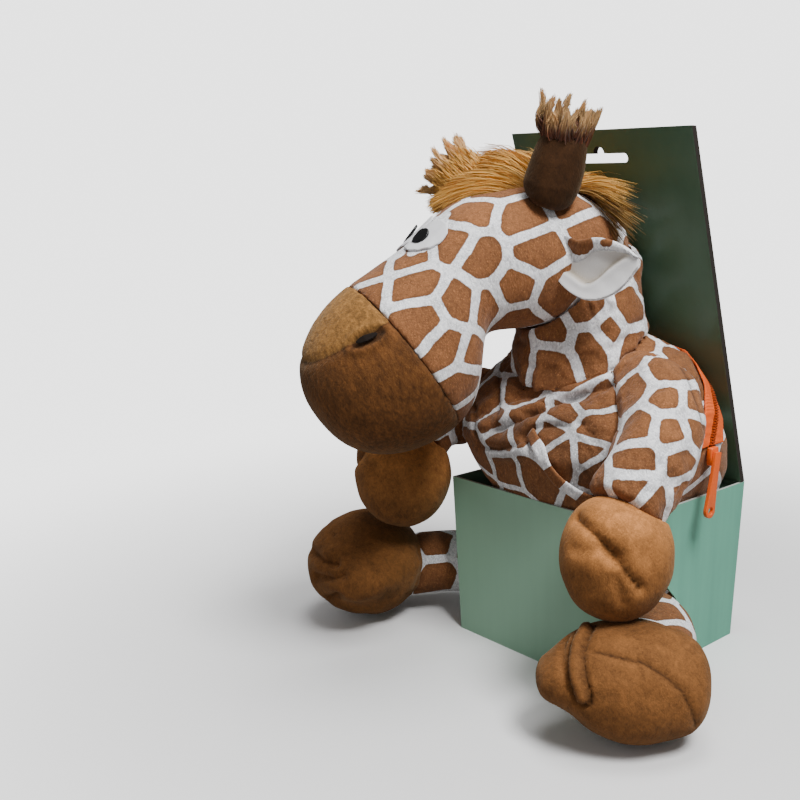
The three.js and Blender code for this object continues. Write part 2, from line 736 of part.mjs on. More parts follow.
function makeFoot({ side, footOut, swell }) {
  const turn = THREE.MathUtils.degToRad(FOOT_TURN);
  const rows = FOOT_ROWS.map(([along, height, wide, high]) => [
    side * (footOut + along * FOOT_LENGTH * Math.cos(turn)),
    -FOOT_FORWARD + along * FOOT_LENGTH * Math.sin(turn),
    GAP + height * FOOT_RADIUS * swell,
    wide * FOOT_RADIUS * swell,
    high * FOOT_RADIUS * swell,
  ]);
  const foot = limb(rows, { sides: 14, steps: 5, level: UP, domes: [FOOT_RADIUS * 0.5, FOOT_RADIUS * 0.3] });
  const size = FOOT_LENGTH * 8;
  const floor = new THREE.BoxGeometry(size, size, FOOT_RADIUS).translate(0, 0, -FOOT_RADIUS / 2);
  return foot.subtract(solidOf(floor));
}

// Zip

function zipBand(trunk, from, to, low, high) {
  const band = behindMouth(from, ZIP_START).subtract(behindMouth(to, ZIP_START - 1));
  return grown(trunk, high).subtract(grown(trunk, low)).intersect(band);
}

// A place on the trunk's left side in the middle of the zip's opening, at a height
function zipPlace(z) {
  const middle = BAG_WALL + ZIP_OPENING / 2;
  const y = BAG_PLANE + (z - BAG_PLANE_HEIGHT) * BAG_PLANE_SLOPE + middle;
  return new THREE.Vector3(trunkSide(y, z), y, z);
}

function makeSlider() {
  const at = zipPlace(ZIP_START);
  const body = new THREE.BoxGeometry(SLIDER_THICKNESS, SLIDER_WIDTH, SLIDER_LENGTH, 1, 2, 2);
  const { position } = body.attributes;
  for (let i = 0; i < position.count; i += 1) {
    const pinch = 1 - 0.3 * Math.abs(position.getZ(i) / SLIDER_LENGTH);
    position.setY(i, position.getY(i) * pinch);
  }
  body.translate(at.x + GAP + SLIDER_THICKNESS / 2, at.y, at.z - SLIDER_LENGTH / 2 - GAP);
  return solidOf(body);
}

function makePull() {
  const at = zipPlace(ZIP_START);
  const round = PULL_WIDTH / 2;
  const neck = PULL_WIDTH * 0.3;
  const outline = new THREE.Shape();
  outline.moveTo(neck, 0);
  outline.lineTo(-neck, 0);
  outline.quadraticCurveTo(-neck, -PULL_LENGTH * 0.5, -round, -PULL_LENGTH + round);
  outline.absarc(0, -PULL_LENGTH + round, round, Math.PI, 2 * Math.PI);
  outline.quadraticCurveTo(neck, -PULL_LENGTH * 0.5, neck, 0);
  const hole = new THREE.Path();
  hole.absarc(0, -PULL_LENGTH + round, PULL_HOLE / 2, 0, 2 * Math.PI, true);
  outline.holes.push(hole);
  const tab = new THREE.ExtrudeGeometry(outline, {
    depth: PULL_THICKNESS,
    bevelEnabled: false,
    curveSegments: 8,
  });
  tab.rotateX(Math.PI / 2).rotateZ(Math.PI / 2).rotateX(-THREE.MathUtils.degToRad(PULL_SWING));
  const out = at.x + SLIDER_THICKNESS + 2 * GAP;
  tab.translate(out, at.y, at.z - SLIDER_LENGTH * 0.25);
  return solidOf(tab);
}

// The strap across the belly: side and height as shares
const STRAP_ROWS = [
  [0.12, 0.76],
  [0.22, 0.67],
  [0.32, 0.62],
  [0.5, 0.59],
];

function makeStrap(belly) {
  const rows = STRAP_ROWS.map(([side, height]) => [
    (side * TRUNK_WIDTH) / 2,
    -TRUNK_FRONT,
    height * TRUNK_HEIGHT,
    STRAP_WIDTH / 2,
    TRUNK_FRONT * 0.6,
  ]);
  const level = new THREE.Vector3(0, -1, 0);
  const domes = [STRAP_THICKNESS * 0.4, STRAP_THICKNESS * 0.4];
  const course = limb(rows, { sides: 8, steps: 5, level, domes, power: 8 });
  return grown(belly, GAP + STRAP_THICKNESS).subtract(grown(belly, GAP)).intersect(course);
}

// Assembly: what gives way to its neighbour is cut by it, grown by the gap

const trunk = makeTrunk().subtract(behindCard());
const mouth = behindMouth(0);
const bagInside = grown(trunk, -BAG_WALL).intersect(behindMouth(BAG_WALL));
const bagMouth = zipBand(trunk, BAG_WALL, BAG_WALL + ZIP_OPENING, -BAG_WALL * 1.5, BAG_WALL);
const backPocket = trunk.intersect(mouth).subtract(bagInside).subtract(bagMouth);
let belly = trunk.subtract(behindMouth(-GAP));
for (const groove of foldGrooves()) belly = belly.subtract(groove);

const muzzle = makeMuzzle();
const head = makeHead();
const trunkKeepOut = grown(trunk, GAP);
const headKeepOut = grown(head, GAP);
const card = makeCard();
const trayKeepOut = trayBox(-GAP, -GAP, TRAY_HEIGHT + GAP);
const wholeNeck = makeNeck();
const neckKeepOut = grown(wholeNeck, GAP);
const neck = wholeNeck.subtract(trunkKeepOut).subtract(headKeepOut).subtract(behindCard());

const pieces = [];

function piece(name, solid, color, roughness = 0.9) {
  pieces.push({ name, solid, color, roughness });
}

let tray = makeTray();
piece('carton_back_card', card, BOARD_GREEN, 0.6);
piece('belly', belly, PATCH_BROWN);
piece('back_pocket', backPocket, PATCH_BROWN);
piece('neck', neck, PATCH_BROWN);
piece('head', head, PATCH_BROWN);
piece('muzzle', muzzle, MUZZLE_BROWN);

const middleOfZip = BAG_WALL + ZIP_OPENING / 2;
const coilHalf = COIL_WIDTH / 2;
const tapeSkin = [GAP, GAP + TAPE_THICKNESS];
const coilFront = middleOfZip - coilHalf;
const coilBack = middleOfZip + coilHalf;
const zipKeepOut = neckKeepOut.add(behindCard());
piece(
  'zip_tape_front',
  zipBand(trunk, coilFront - GAP - TAPE_WIDTH, coilFront - GAP, ...tapeSkin).subtract(zipKeepOut),
  ZIP_ORANGE,
);
piece(
  'zip_tape_back',
  zipBand(trunk, coilBack + GAP, coilBack + GAP + TAPE_WIDTH, ...tapeSkin).subtract(zipKeepOut),
  ZIP_ORANGE,
);
piece(
  'zip_coil',
  zipBand(trunk, coilFront, coilBack, GAP, GAP + COIL_THICKNESS).subtract(zipKeepOut),
  ZIP_ORANGE,
  0.5,
);
piece('zip_slider', makeSlider(), ZIP_ORANGE, 0.4);
piece('zip_pull', makePull(), ZIP_ORANGE, 0.4);
piece('front_strap', makeStrap(belly), PATCH_BROWN);

const LIMBS = [
  {
    hand: 'left',
    side: 1,
    armOut: LEFT_ARM_OUT,
    raise: LEFT_HAND_RAISE,
    sag: 0,
    footOut: LEFT_FOOT_OUT,
    swell: 1,
  },
  {
    hand: 'right',
    side: -1,
    armOut: RIGHT_ARM_OUT,
    raise: RIGHT_HAND_RAISE,
    sag: RIGHT_SHOULDER_SAG,
    footOut: RIGHT_FOOT_OUT,
    swell: RIGHT_FOOT_SWELL,
  },
];

for (const place of LIMBS) {
  const { hand, side } = place;
  const { white, pupil } = makeEye(head, side);
  piece(`eye_white_${hand}`, white, FELT_WHITE);
  piece(`eye_pupil_${hand}`, pupil, FELT_BLACK, 0.3);
  piece(`nostril_${hand}`, makeNostril(muzzle, side), FELT_BLACK);

  const { ear, lining } = makeEar(side);
  piece(`ear_${hand}`, ear.subtract(headKeepOut), PATCH_BROWN);
  piece(`ear_lining_${hand}`, lining.subtract(headKeepOut), FELT_WHITE);

  const horn = makeHorn(HORNS[hand]).subtract(headKeepOut);
  piece(`horn_${hand}`, horn, PLAIN_BROWN);
  piece(`horn_tuft_${hand}`, makeTuft(HORNS[hand]), FUR_GOLD);

  const wholeLeg = makeLeg(place);
  const foot = makeFoot(place).subtract(grown(wholeLeg, GAP)).subtract(trayKeepOut);
  tray = tray.subtract(grown(wholeLeg, HOLE_CLEARANCE));
  piece(`leg_${hand}`, wholeLeg.subtract(trunkKeepOut), PATCH_BROWN);
  piece(`foot_${hand}`, foot, PLAIN_BROWN);

  const wholeArm = makeArm(place);
  const handBody = makeHand(place).subtract(grown(wholeArm, GAP));
  piece(`arm_${hand}`, wholeArm.subtract(trunkKeepOut).subtract(neckKeepOut), PATCH_BROWN);
  piece(`hand_${hand}`, handBody.subtract(grown(foot, GAP)).subtract(trayKeepOut), PLAIN_BROWN);
}
piece('carton_tray', tray, BOARD_GREEN, 0.6);
piece('mane', makeMane().subtract(headKeepOut).subtract(neckKeepOut).subtract(behindCard()), FUR_GOLD);

const part = new THREE.Group();
for (const { name, solid, color, roughness } of pieces) {
  const material = new THREE.MeshStandardMaterial({ color, roughness, metalness: 0 });
  const mesh = new THREE.Mesh(geometryOf(solid), material);
  mesh.name = name;
  part.add(mesh);
}

export default part;
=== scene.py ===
"""A toddler's giraffe backpack in its open display carton: plush, felt, fur, zip and board.

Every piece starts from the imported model's node of the same name. Soft pieces are remeshed, relaxed,
swollen back to size, and then sewn: seams are drawn in, folds lapped and the spotted cloth laid on.
Lengths are metres. The giraffe faces -Y and its left side is +X.
"""

import functools
import math

import bmesh
import bpy
import numpy as np
from bpy.props import FloatProperty, FloatVectorProperty, IntProperty, PointerProperty
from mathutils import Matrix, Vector
from mathutils.bvhtree import BVHTree
from mathutils.kdtree import KDTree


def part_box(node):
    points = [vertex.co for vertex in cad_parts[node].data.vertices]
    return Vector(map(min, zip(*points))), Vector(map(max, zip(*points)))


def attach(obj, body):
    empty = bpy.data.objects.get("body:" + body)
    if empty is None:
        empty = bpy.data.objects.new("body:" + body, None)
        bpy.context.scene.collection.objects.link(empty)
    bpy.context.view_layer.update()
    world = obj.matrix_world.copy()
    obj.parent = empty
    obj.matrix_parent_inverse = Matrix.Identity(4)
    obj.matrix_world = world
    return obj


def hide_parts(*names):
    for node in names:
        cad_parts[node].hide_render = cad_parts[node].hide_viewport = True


bl_info = {
    "name": "Giraffe Backpack in a Carton",
    "version": (1, 0, 0),
    "blender": (4, 5, 0),
    "location": "3D View > Sidebar > Giraffe",
    "description": "Makes the plush, felt, fur, zip and board of a toddler's giraffe backpack",
    "category": "Add Mesh",
}

MM = 0.001
SEED = 7

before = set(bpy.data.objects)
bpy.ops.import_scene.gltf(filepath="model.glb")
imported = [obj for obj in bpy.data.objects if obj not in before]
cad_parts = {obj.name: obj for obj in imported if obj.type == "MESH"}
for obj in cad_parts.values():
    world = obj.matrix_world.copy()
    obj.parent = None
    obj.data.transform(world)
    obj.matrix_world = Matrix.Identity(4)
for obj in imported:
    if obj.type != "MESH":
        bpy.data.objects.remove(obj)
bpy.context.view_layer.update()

# The camera that the object is seen from, for an image of 800 by 800 pixels
IMAGE = 800
AZIMUTH = math.radians(44.94)
ELEVATION = math.radians(12.79)
LOOK_AT = Vector((-0.0696, 0.0, 0.1484))
DISTANCE = 0.7756
FOCAL = 1033.3
CENTRE = (528, 419)

BACK = Vector(
    (
        math.sin(AZIMUTH) * math.cos(ELEVATION),
        -math.cos(AZIMUTH) * math.cos(ELEVATION),
        math.sin(ELEVATION),
    )
)
RIGHT = Vector((math.cos(AZIMUTH), math.sin(AZIMUTH), 0.0))
ABOVE = BACK.cross(RIGHT)
EYE = LOOK_AT + BACK * DISTANCE


# Settings


def colour_field(name, description, default):
    """A colour among the settings."""
    return FloatVectorProperty(name=name, description=description, default=default, subtype="COLOR")


def length_field(name, description, default):
    """A length among the settings."""
    return FloatProperty(name=name, description=description, default=default, subtype="DISTANCE")


class PlushSettings(bpy.types.PropertyGroup):
    """Sizes and colours of the plush cloths."""

    voxel: length_field("Voxel", "Size of the faces of stuffed pieces", 0.0021)
    patch_spacing: length_field("Patch Spacing", "Distance between the patches' middles", 0.030)
    net_width: length_field("Net Width", "Width of the white lines between patches", 0.0062)
    patch: colour_field("Patch", "Brown of the patches", (0.26, 0.106, 0.041))
    net: colour_field("Net", "White between the patches", (0.86, 0.86, 0.88))
    paw: colour_field("Paw", "Brown of the hands and feet", (0.205, 0.083, 0.024))
    # The horns' brown is a darker copy of the paws' brown: painted shade for the horns, which stand in shade.
    horn: colour_field("Horn", "Dark brown of the horns", (0.047, 0.019, 0.006))
    muzzle: colour_field("Muzzle", "Brown of the muzzle's lower panel", (0.135, 0.052, 0.014))
    nose: colour_field("Nose", "Tan of the muzzle's upper panel", (0.29, 0.138, 0.038))


class FurSettings(bpy.types.PropertyGroup):
    """Strands of the mane and the horn tufts."""

    mane_strands: IntProperty(
        name="Mane Strands", description="Number of strands in the mane", default=22000, min=100
    )
    tuft_strands: IntProperty(
        name="Tuft Strands", description="Number of strands in each horn tuft", default=6000, min=100
    )
    gold: colour_field("Gold", "Colour of the fur's tips", (0.78, 0.42, 0.09))
    root: colour_field("Root", "Colour at the fur's roots", (0.20, 0.075, 0.015))
    fringe: colour_field("Fringe", "Colour of the tips of the horns' fringe", (0.80, 0.48, 0.20))
    fringe_root: colour_field("Fringe Root", "Colour at the fringe's roots", (0.17, 0.050, 0.017))


class CartonSettings(bpy.types.PropertyGroup):
    """Colours of the carton's board."""

    front: colour_field("Front", "Green of the tray's front", (0.37, 0.64, 0.46))
    side: colour_field("Side", "Mint of the tray's sides", (0.17, 0.50, 0.36))
    card: colour_field("Card", "Green of the back card", (0.080, 0.160, 0.100))
    # The card's cut edge is painted near-black: painted shade in the board's thickness.
    edge: colour_field("Edge", "Dark cut edge of the card", (0.022, 0.016, 0.012))


class ZipSettings(bpy.types.PropertyGroup):
    """The zip's colour and teeth."""

    orange: colour_field("Orange", "Colour of the tapes and the pull", (0.90, 0.13, 0.012))
    pitch: length_field("Pitch", "Distance between teeth", 0.0018)


# Meshes


def placed(name, data):
    """A new object in the scene."""
    obj = bpy.data.objects.new(name, data)
    bpy.context.scene.collection.objects.link(obj)
    return obj


def add_piece(node, kind, mesh, material):
    """Shows a finished mesh as the one piece that stands for a CAD node."""
    obj = placed(f"{node}.{kind}", mesh)
    mesh.materials.clear()
    mesh.materials.append(material)
    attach(obj, "root")
    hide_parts(node)
    return obj


def solid(node):
    """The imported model's mesh of a node."""
    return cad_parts[node].data


def middle_of(node):
    """The middle of a node's box."""
    low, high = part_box(node)
    return (low + high) / 2


def unit(vectors):
    """Vectors of length one."""
    return vectors / (np.linalg.norm(vectors, axis=-1, keepdims=True) + 1e-12)


def points_of(mesh):
    """A mesh's points as an array."""
    co = np.zeros(len(mesh.vertices) * 3)
    mesh.vertices.foreach_get("co", co)
    return co.reshape(-1, 3)


def normals_of(mesh):
    """A mesh's point normals as an array."""
    no = np.zeros(len(mesh.vertices) * 3)
    mesh.vertex_normals.foreach_get("vector", no)
    return no.reshape(-1, 3)


def move_points(mesh, co):
    """Gives a mesh new places for its points."""
    mesh.vertices.foreach_set("co", np.asarray(co, dtype=float).ravel())
    mesh.update()


def push(mesh, amount):
    """Moves each point outwards along its normal by an amount of its own."""
    move_points(mesh, points_of(mesh) + normals_of(mesh) * np.asarray(amount)[:, None])


def bell(distance, width, power=2):
    """1 at no distance, dying away over a width."""
    return np.exp(-(np.abs(distance / width) ** power))


def paint(mesh, name, values):
    """Stores one number a point, for the materials."""
    layer = mesh.attributes.new(name, "FLOAT", "POINT")
    layer.data.foreach_set("value", np.asarray(values, dtype=np.float32))


def smooth_faces(mesh):
    """Shades a mesh smooth."""
    mesh.polygons.foreach_set("use_smooth", [True] * len(mesh.polygons))


def mesh_from(name, points, faces, smooth=True):
    """A mesh from arrays of points and faces."""
    mesh = bpy.data.meshes.new(name)
    mesh.from_pydata([tuple(p) for p in points], [], [tuple(f) for f in faces])
    mesh.update()
    if smooth:
        smooth_faces(mesh)
    return mesh


def tube_faces(rings, sides, start=0):
    """The faces of a closed tube whose points stand in rings."""
    last = start + (rings - 1) * sides
    faces = [[start + k for k in range(sides)][::-1], [last + k for k in range(sides)]]
    for ring in range(start, last, sides):
        for k in range(sides):
            j = (k + 1) % sides
            faces.append([ring + k, ring + j, ring + sides + j, ring + sides + k])
    return faces


def volume_and_area(mesh):
    """Volume and area of a closed mesh."""
    form = bmesh.new()
    form.from_mesh(mesh)
    volume = form.calc_volume()
    area = sum(f.calc_area() for f in form.faces)
    form.free()
    return volume, area


def tree_of(mesh):
    """A search tree over a mesh's faces."""
    co = [tuple(p) for p in points_of(mesh)]
    return BVHTree.FromPolygons(co, [tuple(p.vertices) for p in mesh.polygons])


def finder_of(places):
    """A search tree over places."""
    finder = KDTree(len(places))
    for i, place in enumerate(places):
        finder.insert(place, i)
    finder.balance()
    return finder


def distance_to(tree, co, reach):
    """Each point's distance to a surface, no further than a reach."""
    found = np.full(len(co), reach)
    for i, p in enumerate(co):
        hit = tree.find_nearest(Vector(p), reach)
        if hit[0] is not None:
            found[i] = hit[3]
    return found


def remeshed(source, name, voxel, relax=0, free=None):
    """A mesh of even faces over a source mesh, relaxed where it is free to move."""
    draft = placed(name, source.copy())
    if voxel:
        even = draft.modifiers.new("Even", "REMESH")
        even.mode = "VOXEL"
        even.voxel_size = voxel
    if relax:
        group = draft.vertex_groups.new(name="free")
        for i, weight in enumerate(free):
            group.add([i], float(weight), "REPLACE")
        smooth = draft.modifiers.new("Relax", "SMOOTH")
        smooth.factor = 0.5
        smooth.iterations = relax
        smooth.vertex_group = "free"
    graph = bpy.context.evaluated_depsgraph_get()
    mesh = bpy.data.meshes.new_from_object(draft.evaluated_get(graph))
    bpy.data.objects.remove(draft)
    return mesh


def nearness(co, beside, reach=0.02):
    """Each point's distance to the nearest of the neighbouring pieces."""
    near = np.full(len(co), 1.0)
    for other in beside:
        near = np.minimum(near, distance_to(tree_of(solid(other)), co, reach))
    return near


# The simulated cloth: its settings, the size of its faces, how near to a neighbour it is sewn on,
# how far inside it starts, and for how many frames it runs
CLOTH = {
    "quality": 6,
    "mass": 0.12,
    "tension_stiffness": 14,
    "compression_stiffness": 14,
    "shear_stiffness": 4,
    "bending_stiffness": 0.05,
    "use_pressure": True,
    "uniform_pressure_force": 4,
    "vertex_group_mass": "sewn",
}
CLOTH_VOXEL = 0.0048
CLOTH_SEWN = 0.005
CLOTH_INSET = 0.001
CLOTH_FRAMES = 20


def filled(mesh, near, slack, cap):
    """Cloth that is cut with some slack, sewn on where it meets its neighbours and filled from inside:
    the simulation's movement of each point, up to a cap."""
    coarse = remeshed(mesh, "cloth.draft", CLOTH_VOXEL)
    obj = placed("cloth.draft", coarse)
    scene = bpy.context.scene
    rest = points_of(coarse)
    fine = points_of(mesh)
    finder = finder_of(fine)
    held = np.array([near[finder.find(p)[1]] for p in rest]) < CLOTH_SEWN
    sewn = obj.vertex_groups.new(name="sewn")
    sewn.add([int(i) for i in np.where(held)[0]], 1.0, "REPLACE")
    push(coarse, -CLOTH_INSET * ~held)
    cloth = obj.modifiers.new("Cloth", "CLOTH")
    for name, value in CLOTH.items():
        setattr(cloth.settings, name, value)
    cloth.settings.shrink_min = -slack
    cloth.settings.effector_weights.gravity = 0
    cloth.collision_settings.use_collision = False
    for number in range(1, CLOTH_FRAMES + 1):
        scene.frame_set(number)
    graph = bpy.context.evaluated_depsgraph_get()
    moved = bpy.data.meshes.new_from_object(obj.evaluated_get(graph))
    shift = points_of(moved) - rest
    bpy.data.objects.remove(obj)
    scene.frame_set(1)
    far = np.linalg.norm(shift, axis=1)
    shift *= np.minimum(1.0, cap / np.maximum(far, 1e-9))[:, None]
    finder = finder_of(rest)
    result = np.zeros_like(fine)
    for i, p in enumerate(fine):
        close = finder.find_n(p, 5)
        weights = np.array([1 / (c[2] ** 2 + 1e-7) for c in close])
        result[i] = weights @ shift[[c[1] for c in close]] / weights.sum()
    return result


def stuffed(
    node,
    beside=(),
    voxel=None,
    relax=40,
    groove=0.0012,
    groove_width=0.003,
    hold=0.006,
    least=0.0,
    slack=0.0,
    cap=0.0035,
):
    """A stuffed piece from its CAD node: evenly meshed, its facets relaxed away and swollen back to its
    volume. Where it meets a neighbour it stays put, and the seam between them is drawn in."""
    source = solid(node)
    even = remeshed(source, node, voxel or bpy.context.scene.giraffe_plush.voxel)
    near = nearness(points_of(even), beside)
    free = np.clip((near - 0.0006) / hold, least, 1.0)
    mesh = remeshed(even, node, 0, relax, free)
    wanted, _ = volume_and_area(source)
    has, area = volume_and_area(mesh)
    push(mesh, (wanted - has) / area * free)
    if slack:
        move_points(mesh, points_of(mesh) + filled(mesh, near, slack, cap) * free[:, None])
    if beside:
        push(mesh, -groove * bell(near, groove_width))
    mesh.name = node
    smooth_faces(mesh)
    return mesh


# Places as the camera sees them


def sight(x, y):
    """The line of sight through a pixel."""
    way = RIGHT * (x - CENTRE[0]) + ABOVE * (CENTRE[1] - y) - BACK * FOCAL
    return way.normalized()


def seen(tree, pixels, step=6.0):
    """The line on a surface that runs through these pixels."""
    found = []
    for (x0, y0), (x1, y1) in zip(pixels[:-1], pixels[1:]):
        count = max(1, int(math.hypot(x1 - x0, y1 - y0) / step))
        for i in range(count + 1):
            t = i / count
            hit = tree.ray_cast(EYE, sight(x0 + (x1 - x0) * t, y0 + (y1 - y0) * t))
            if hit[0] is not None:
                found.append(np.array(hit[0]))
    return np.array(found)


def seen_points(tree, pixels):
    """The places on a surface at these pixels, one for each that hits it."""
    hits = [tree.ray_cast(EYE, sight(x, y))[0] for x, y in pixels]
    return np.array([h for h in hits if h is not None]).reshape(-1, 3)


def mirrored(line, from_node, to_node):
    """A line on the left piece, carried over to the right one."""
    low, high = (np.array(c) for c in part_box(from_node))
    new_low, new_high = (np.array(c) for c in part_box(to_node))
    share = (np.asarray(line) - low) / (high - low)
    share[:, 0] = 1 - share[:, 0]
    return new_low + share * (new_high - new_low)


# Sewing


def beside_line(co, line):
    """Each point's distance to a line, the nearest place on it, the line's direction there and how far
    along the line that is."""
    best = np.full(len(co), np.inf)
    place = np.zeros_like(co)
    way = np.zeros_like(co)
    far = np.zeros(len(co))
    gone = 0.0
    for a, b in zip(line[:-1], line[1:]):
        run = b - a
        length = math.sqrt(float(run @ run))
        if length < 1e-6:
            continue
        t = np.clip(((co - a) @ run) / length**2, 0.0, 1.0)
        spot = a + t[:, None] * run
        d = np.linalg.norm(co - spot, axis=1)
        closer = d < best
        best[closer] = d[closer]
        place[closer] = spot[closer]
        way[closer] = run / length
        far[closer] = gone + t[closer] * length
        gone += length
    return best, place, way, far


def draw_in(mesh, line, depth, width, stitch=0.0):
    """Pulls the cloth in along a seam, deeper at each stitch, and notes how near the seam points are, for
    painted shade along the seam.
    """
    d, _, _, far = beside_line(points_of(mesh), line)
    pull = 1.0
    if stitch:
        pull = 1.0 + 0.35 * np.cos(2 * math.pi * far / stitch) * bell(d, width * 1.5)
    push(mesh, -depth * bell(d, width) * pull)
    return bell(d, 0.0010)


def bulge(mesh, place, height, radius):
    """Swells the filling under one place."""
    push(mesh, height * bell(np.linalg.norm(points_of(mesh) - place, axis=1), radius))


def behind(line):
    """A line that starts at an outline, carried on round it, away from the camera."""
    back = np.array(BACK)
    return np.concatenate([[line[0] - back * 0.02, line[0] - back * 0.008], line])


def lap(mesh, line, height, width):
    """Lets the cloth on one side of a line lie over the cloth on its other side, and notes how far
    under the fold points are, for the painted shade beneath the fold."""
    co = points_of(mesh)
    d, place, way, _ = beside_line(co, line)
    side = np.tanh(np.einsum("ij,ij->i", unit(np.cross(way, normals_of(mesh))), co - place) / 0.0011)
    ends = np.minimum(np.linalg.norm(co - line[0], axis=1), np.linalg.norm(co - line[-1], axis=1))
    fade = np.clip(ends / 0.012, 0, 1) ** 0.7
    over, under = 0.5 + 0.5 * side, 0.5 - 0.5 * side
    push(mesh, height * fade * (0.55 * over * bell(d, width * 1.9) - 0.75 * under * bell(d, width * 0.8)))
    return under * bell(d, 0.0026) * fade


def ridge(mesh, line, height, width):
    """Raises a narrow tuck along a line, between two sunk edges, and gives painted shade in those edges."""
    d = beside_line(points_of(mesh), line)[0]
    push(mesh, height * (bell(d, width, 4) - 0.9 * bell(d - width * 1.25, width * 0.32)))
    return bell(d - width * 1.2, 0.0014) * 0.8


def waves(co, size, seed, octaves=2):
    """A soft random height at each point, from -1 to 1."""
    rng = np.random.default_rng(seed)
    total = np.zeros(len(co))
    for octave in range(octaves):
        for _ in range(5):
            way = rng.normal(size=3)
            way *= (2 * math.pi / size) * (1.9**octave) / np.linalg.norm(way)
            total += np.sin(co @ way + rng.uniform(0, 6.28)) / (5 * 1.7**octave)
    return total


def lumpy(mesh, height, size, seed):
    """Gives a stuffed piece the uneven fill of wadding."""
    push(mesh, height * waves(points_of(mesh), size, seed))


def spread_patches(co, known, spacing, seed):
    """Middles of the patches: those known, and more wherever there is still room for one."""
    rng = np.random.default_rng(seed)
    middles = [np.asarray(p) for p in known]
    for i in rng.permutation(len(co))[:6000]:
        p = co[i]
        if not middles or min(np.linalg.norm(np.array(middles) - p, axis=1)) > spacing:
            middles.append(p)
    return np.array(middles)


def lay_spots(mesh, known, seed, spacing=None):
    """Lays the spotted cloth on a piece: each point's distance to its patch's edge, in millimetres,
    and a tone for each patch."""
    spacing = spacing or bpy.context.scene.giraffe_plush.patch_spacing
    co = points_of(mesh)
    middles = spread_patches(co, known, spacing, seed)
    bent = co + 0.0008 * np.stack([waves(co, 0.02, seed + k) for k in range(3)], axis=1)
    gaps = np.zeros(len(co))
    mine = np.zeros(len(co), int)
    for start in range(0, len(co), 4000):
        part = slice(start, start + 4000)
        away = np.linalg.norm(bent[part][:, None, :] - middles[None], axis=2)
        first = away.argmin(axis=1)
        nearest = away[np.arange(len(first)), first]
        apart = np.linalg.norm(middles[first][:, None, :] - middles[None], axis=2)
        apart[np.arange(len(first)), first] = np.inf
        edge = (away**2 - nearest[:, None] ** 2) / (2 * apart)
        edge[np.arange(len(first)), first] = np.inf
        soft = 0.0007
        gaps[part] = -soft * np.log(np.exp(-edge / soft).sum(axis=1) + 1e-30)
        mine[part] = first
    tones = np.random.default_rng(seed + 50).uniform(-1, 1, len(middles))
    paint(mesh, "patch_edge", gaps / MM)
    paint(mesh, "patch_tone", tones[mine])


def change_edges(mesh, change):
    """Changes the distances to the patches' edges that lay_spots has stored."""
    layer = mesh.attributes["patch_edge"].data
    edges = np.zeros(len(layer), dtype=np.float32)
    layer.foreach_get("value", edges)
    layer.foreach_set("value", change(edges).astype(np.float32))


def note_seams(mesh, marks):
    """Stores how much painted shade each point gets: how near it is to a seam or under a fold, or deep in a
    hollow.
    """
    total = np.zeros(len(mesh.vertices))
    for mark in marks:
        total = np.maximum(total, mark)
    paint(mesh, "seam", total)


# Materials


class Sheet:
    """A material's or a group's node tree, with short ways to add to it."""

    def __init__(self, tree):
        self.tree = tree

    def feed(self, value, socket):
        """Links an output to a socket, or sets the socket to a number or a colour."""
        if hasattr(value, "links"):
            self.tree.links.new(value, socket)
        elif socket.type == "RGBA":
            socket.default_value = (*value[:3], 1.0)
        else:
            socket.default_value = value

    def set(self, node, inputs):
        """Sets some of a node's inputs, each to a number, a colour or an output."""
        for name, value in inputs.items():
            self.feed(value, node.inputs[name])

    def add(self, kind, inputs=None, **options):
        """Adds a node, and sets its options and its inputs."""
        node = self.tree.nodes.new(kind)
        for name, value in options.items():
            setattr(node, name, value)
        self.set(node, inputs or {})
        return node

    def math(self, operation, a, b=0.0, clamp=False):
        """A sum of two values, each a number or an output."""
        return self.add("ShaderNodeMath", {0: a, 1: b}, operation=operation, use_clamp=clamp).outputs[0]

    def times_plus(self, value, times, plus):
        """A value multiplied by a number, with another added."""
        return self.math("ADD", self.math("MULTIPLY", value, times), plus)

    def ramp(self, value, low, high):
        """A value that rises smoothly from 0 at low to 1 at high."""
        span = {"Value": value, "From Min": low, "From Max": high}
        return self.add("ShaderNodeMapRange", span, interpolation_type="SMOOTHSTEP").outputs["Result"]

    def mix(self, factor, a, b):
        """A mix of two colours, each a colour or an output."""
        return self.add("ShaderNodeMix", {0: factor, 6: a, 7: b}, data_type="RGBA").outputs[2]

    def scaled(self, colour, factor):
        """A colour made lighter or darker by a factor."""
        inputs = {0: colour, "Scale": factor}
        return self.add("ShaderNodeVectorMath", inputs, operation="SCALE").outputs[0]

    def noise(self, scale, detail=2.0, rough=0.5, stretch=(1, 1, 1), turn=(0, 0, 0), bend=0.0):
        """Noise over the object, whose grains are 1/scale metres, drawn out by stretch along turned axes."""
        place = self.add("ShaderNodeTexCoord").outputs["Object"]
        axes = {"Vector": place, "Rotation": turn, "Scale": stretch}
        turned = self.add("ShaderNodeMapping", axes, vector_type="TEXTURE").outputs["Vector"]
        grain = {"Vector": turned, "Scale": scale, "Detail": detail, "Roughness": rough, "Distortion": bend}
        return self.add("ShaderNodeTexNoise", grain).outputs["Fac"]

    def stored(self, name):
        """A number that the mesh stores at its points."""
        return self.add("ShaderNodeAttribute", attribute_name=name).outputs["Fac"]

    def bump(self, shader, height, strength, distance):
        """Lets a height raise and lower a shader's surface."""
        node = self.add("ShaderNodeBump", {"Height": height, "Strength": strength, "Distance": distance})
        self.feed(node.outputs["Normal"], shader.inputs["Normal"])


def new_group(name, inputs, outputs):
    """A shader node group with these named sockets, and its input and output nodes."""
    group = bpy.data.node_groups.new(name, "ShaderNodeTree")
    for label, kind, value in inputs:
        socket = group.interface.new_socket(name=label, in_out="INPUT", socket_type=kind)
        socket.default_value = value
    for label, kind in outputs:
        group.interface.new_socket(name=label, in_out="OUTPUT", socket_type=kind)
    sheet = Sheet(group)
    return sheet, group.nodes.new("NodeGroupInput"), group.nodes.new("NodeGroupOutput")


# The way that the pile lies, as a turn of its grain
NAP_TURN = (0.45, 0.5, 0.0)


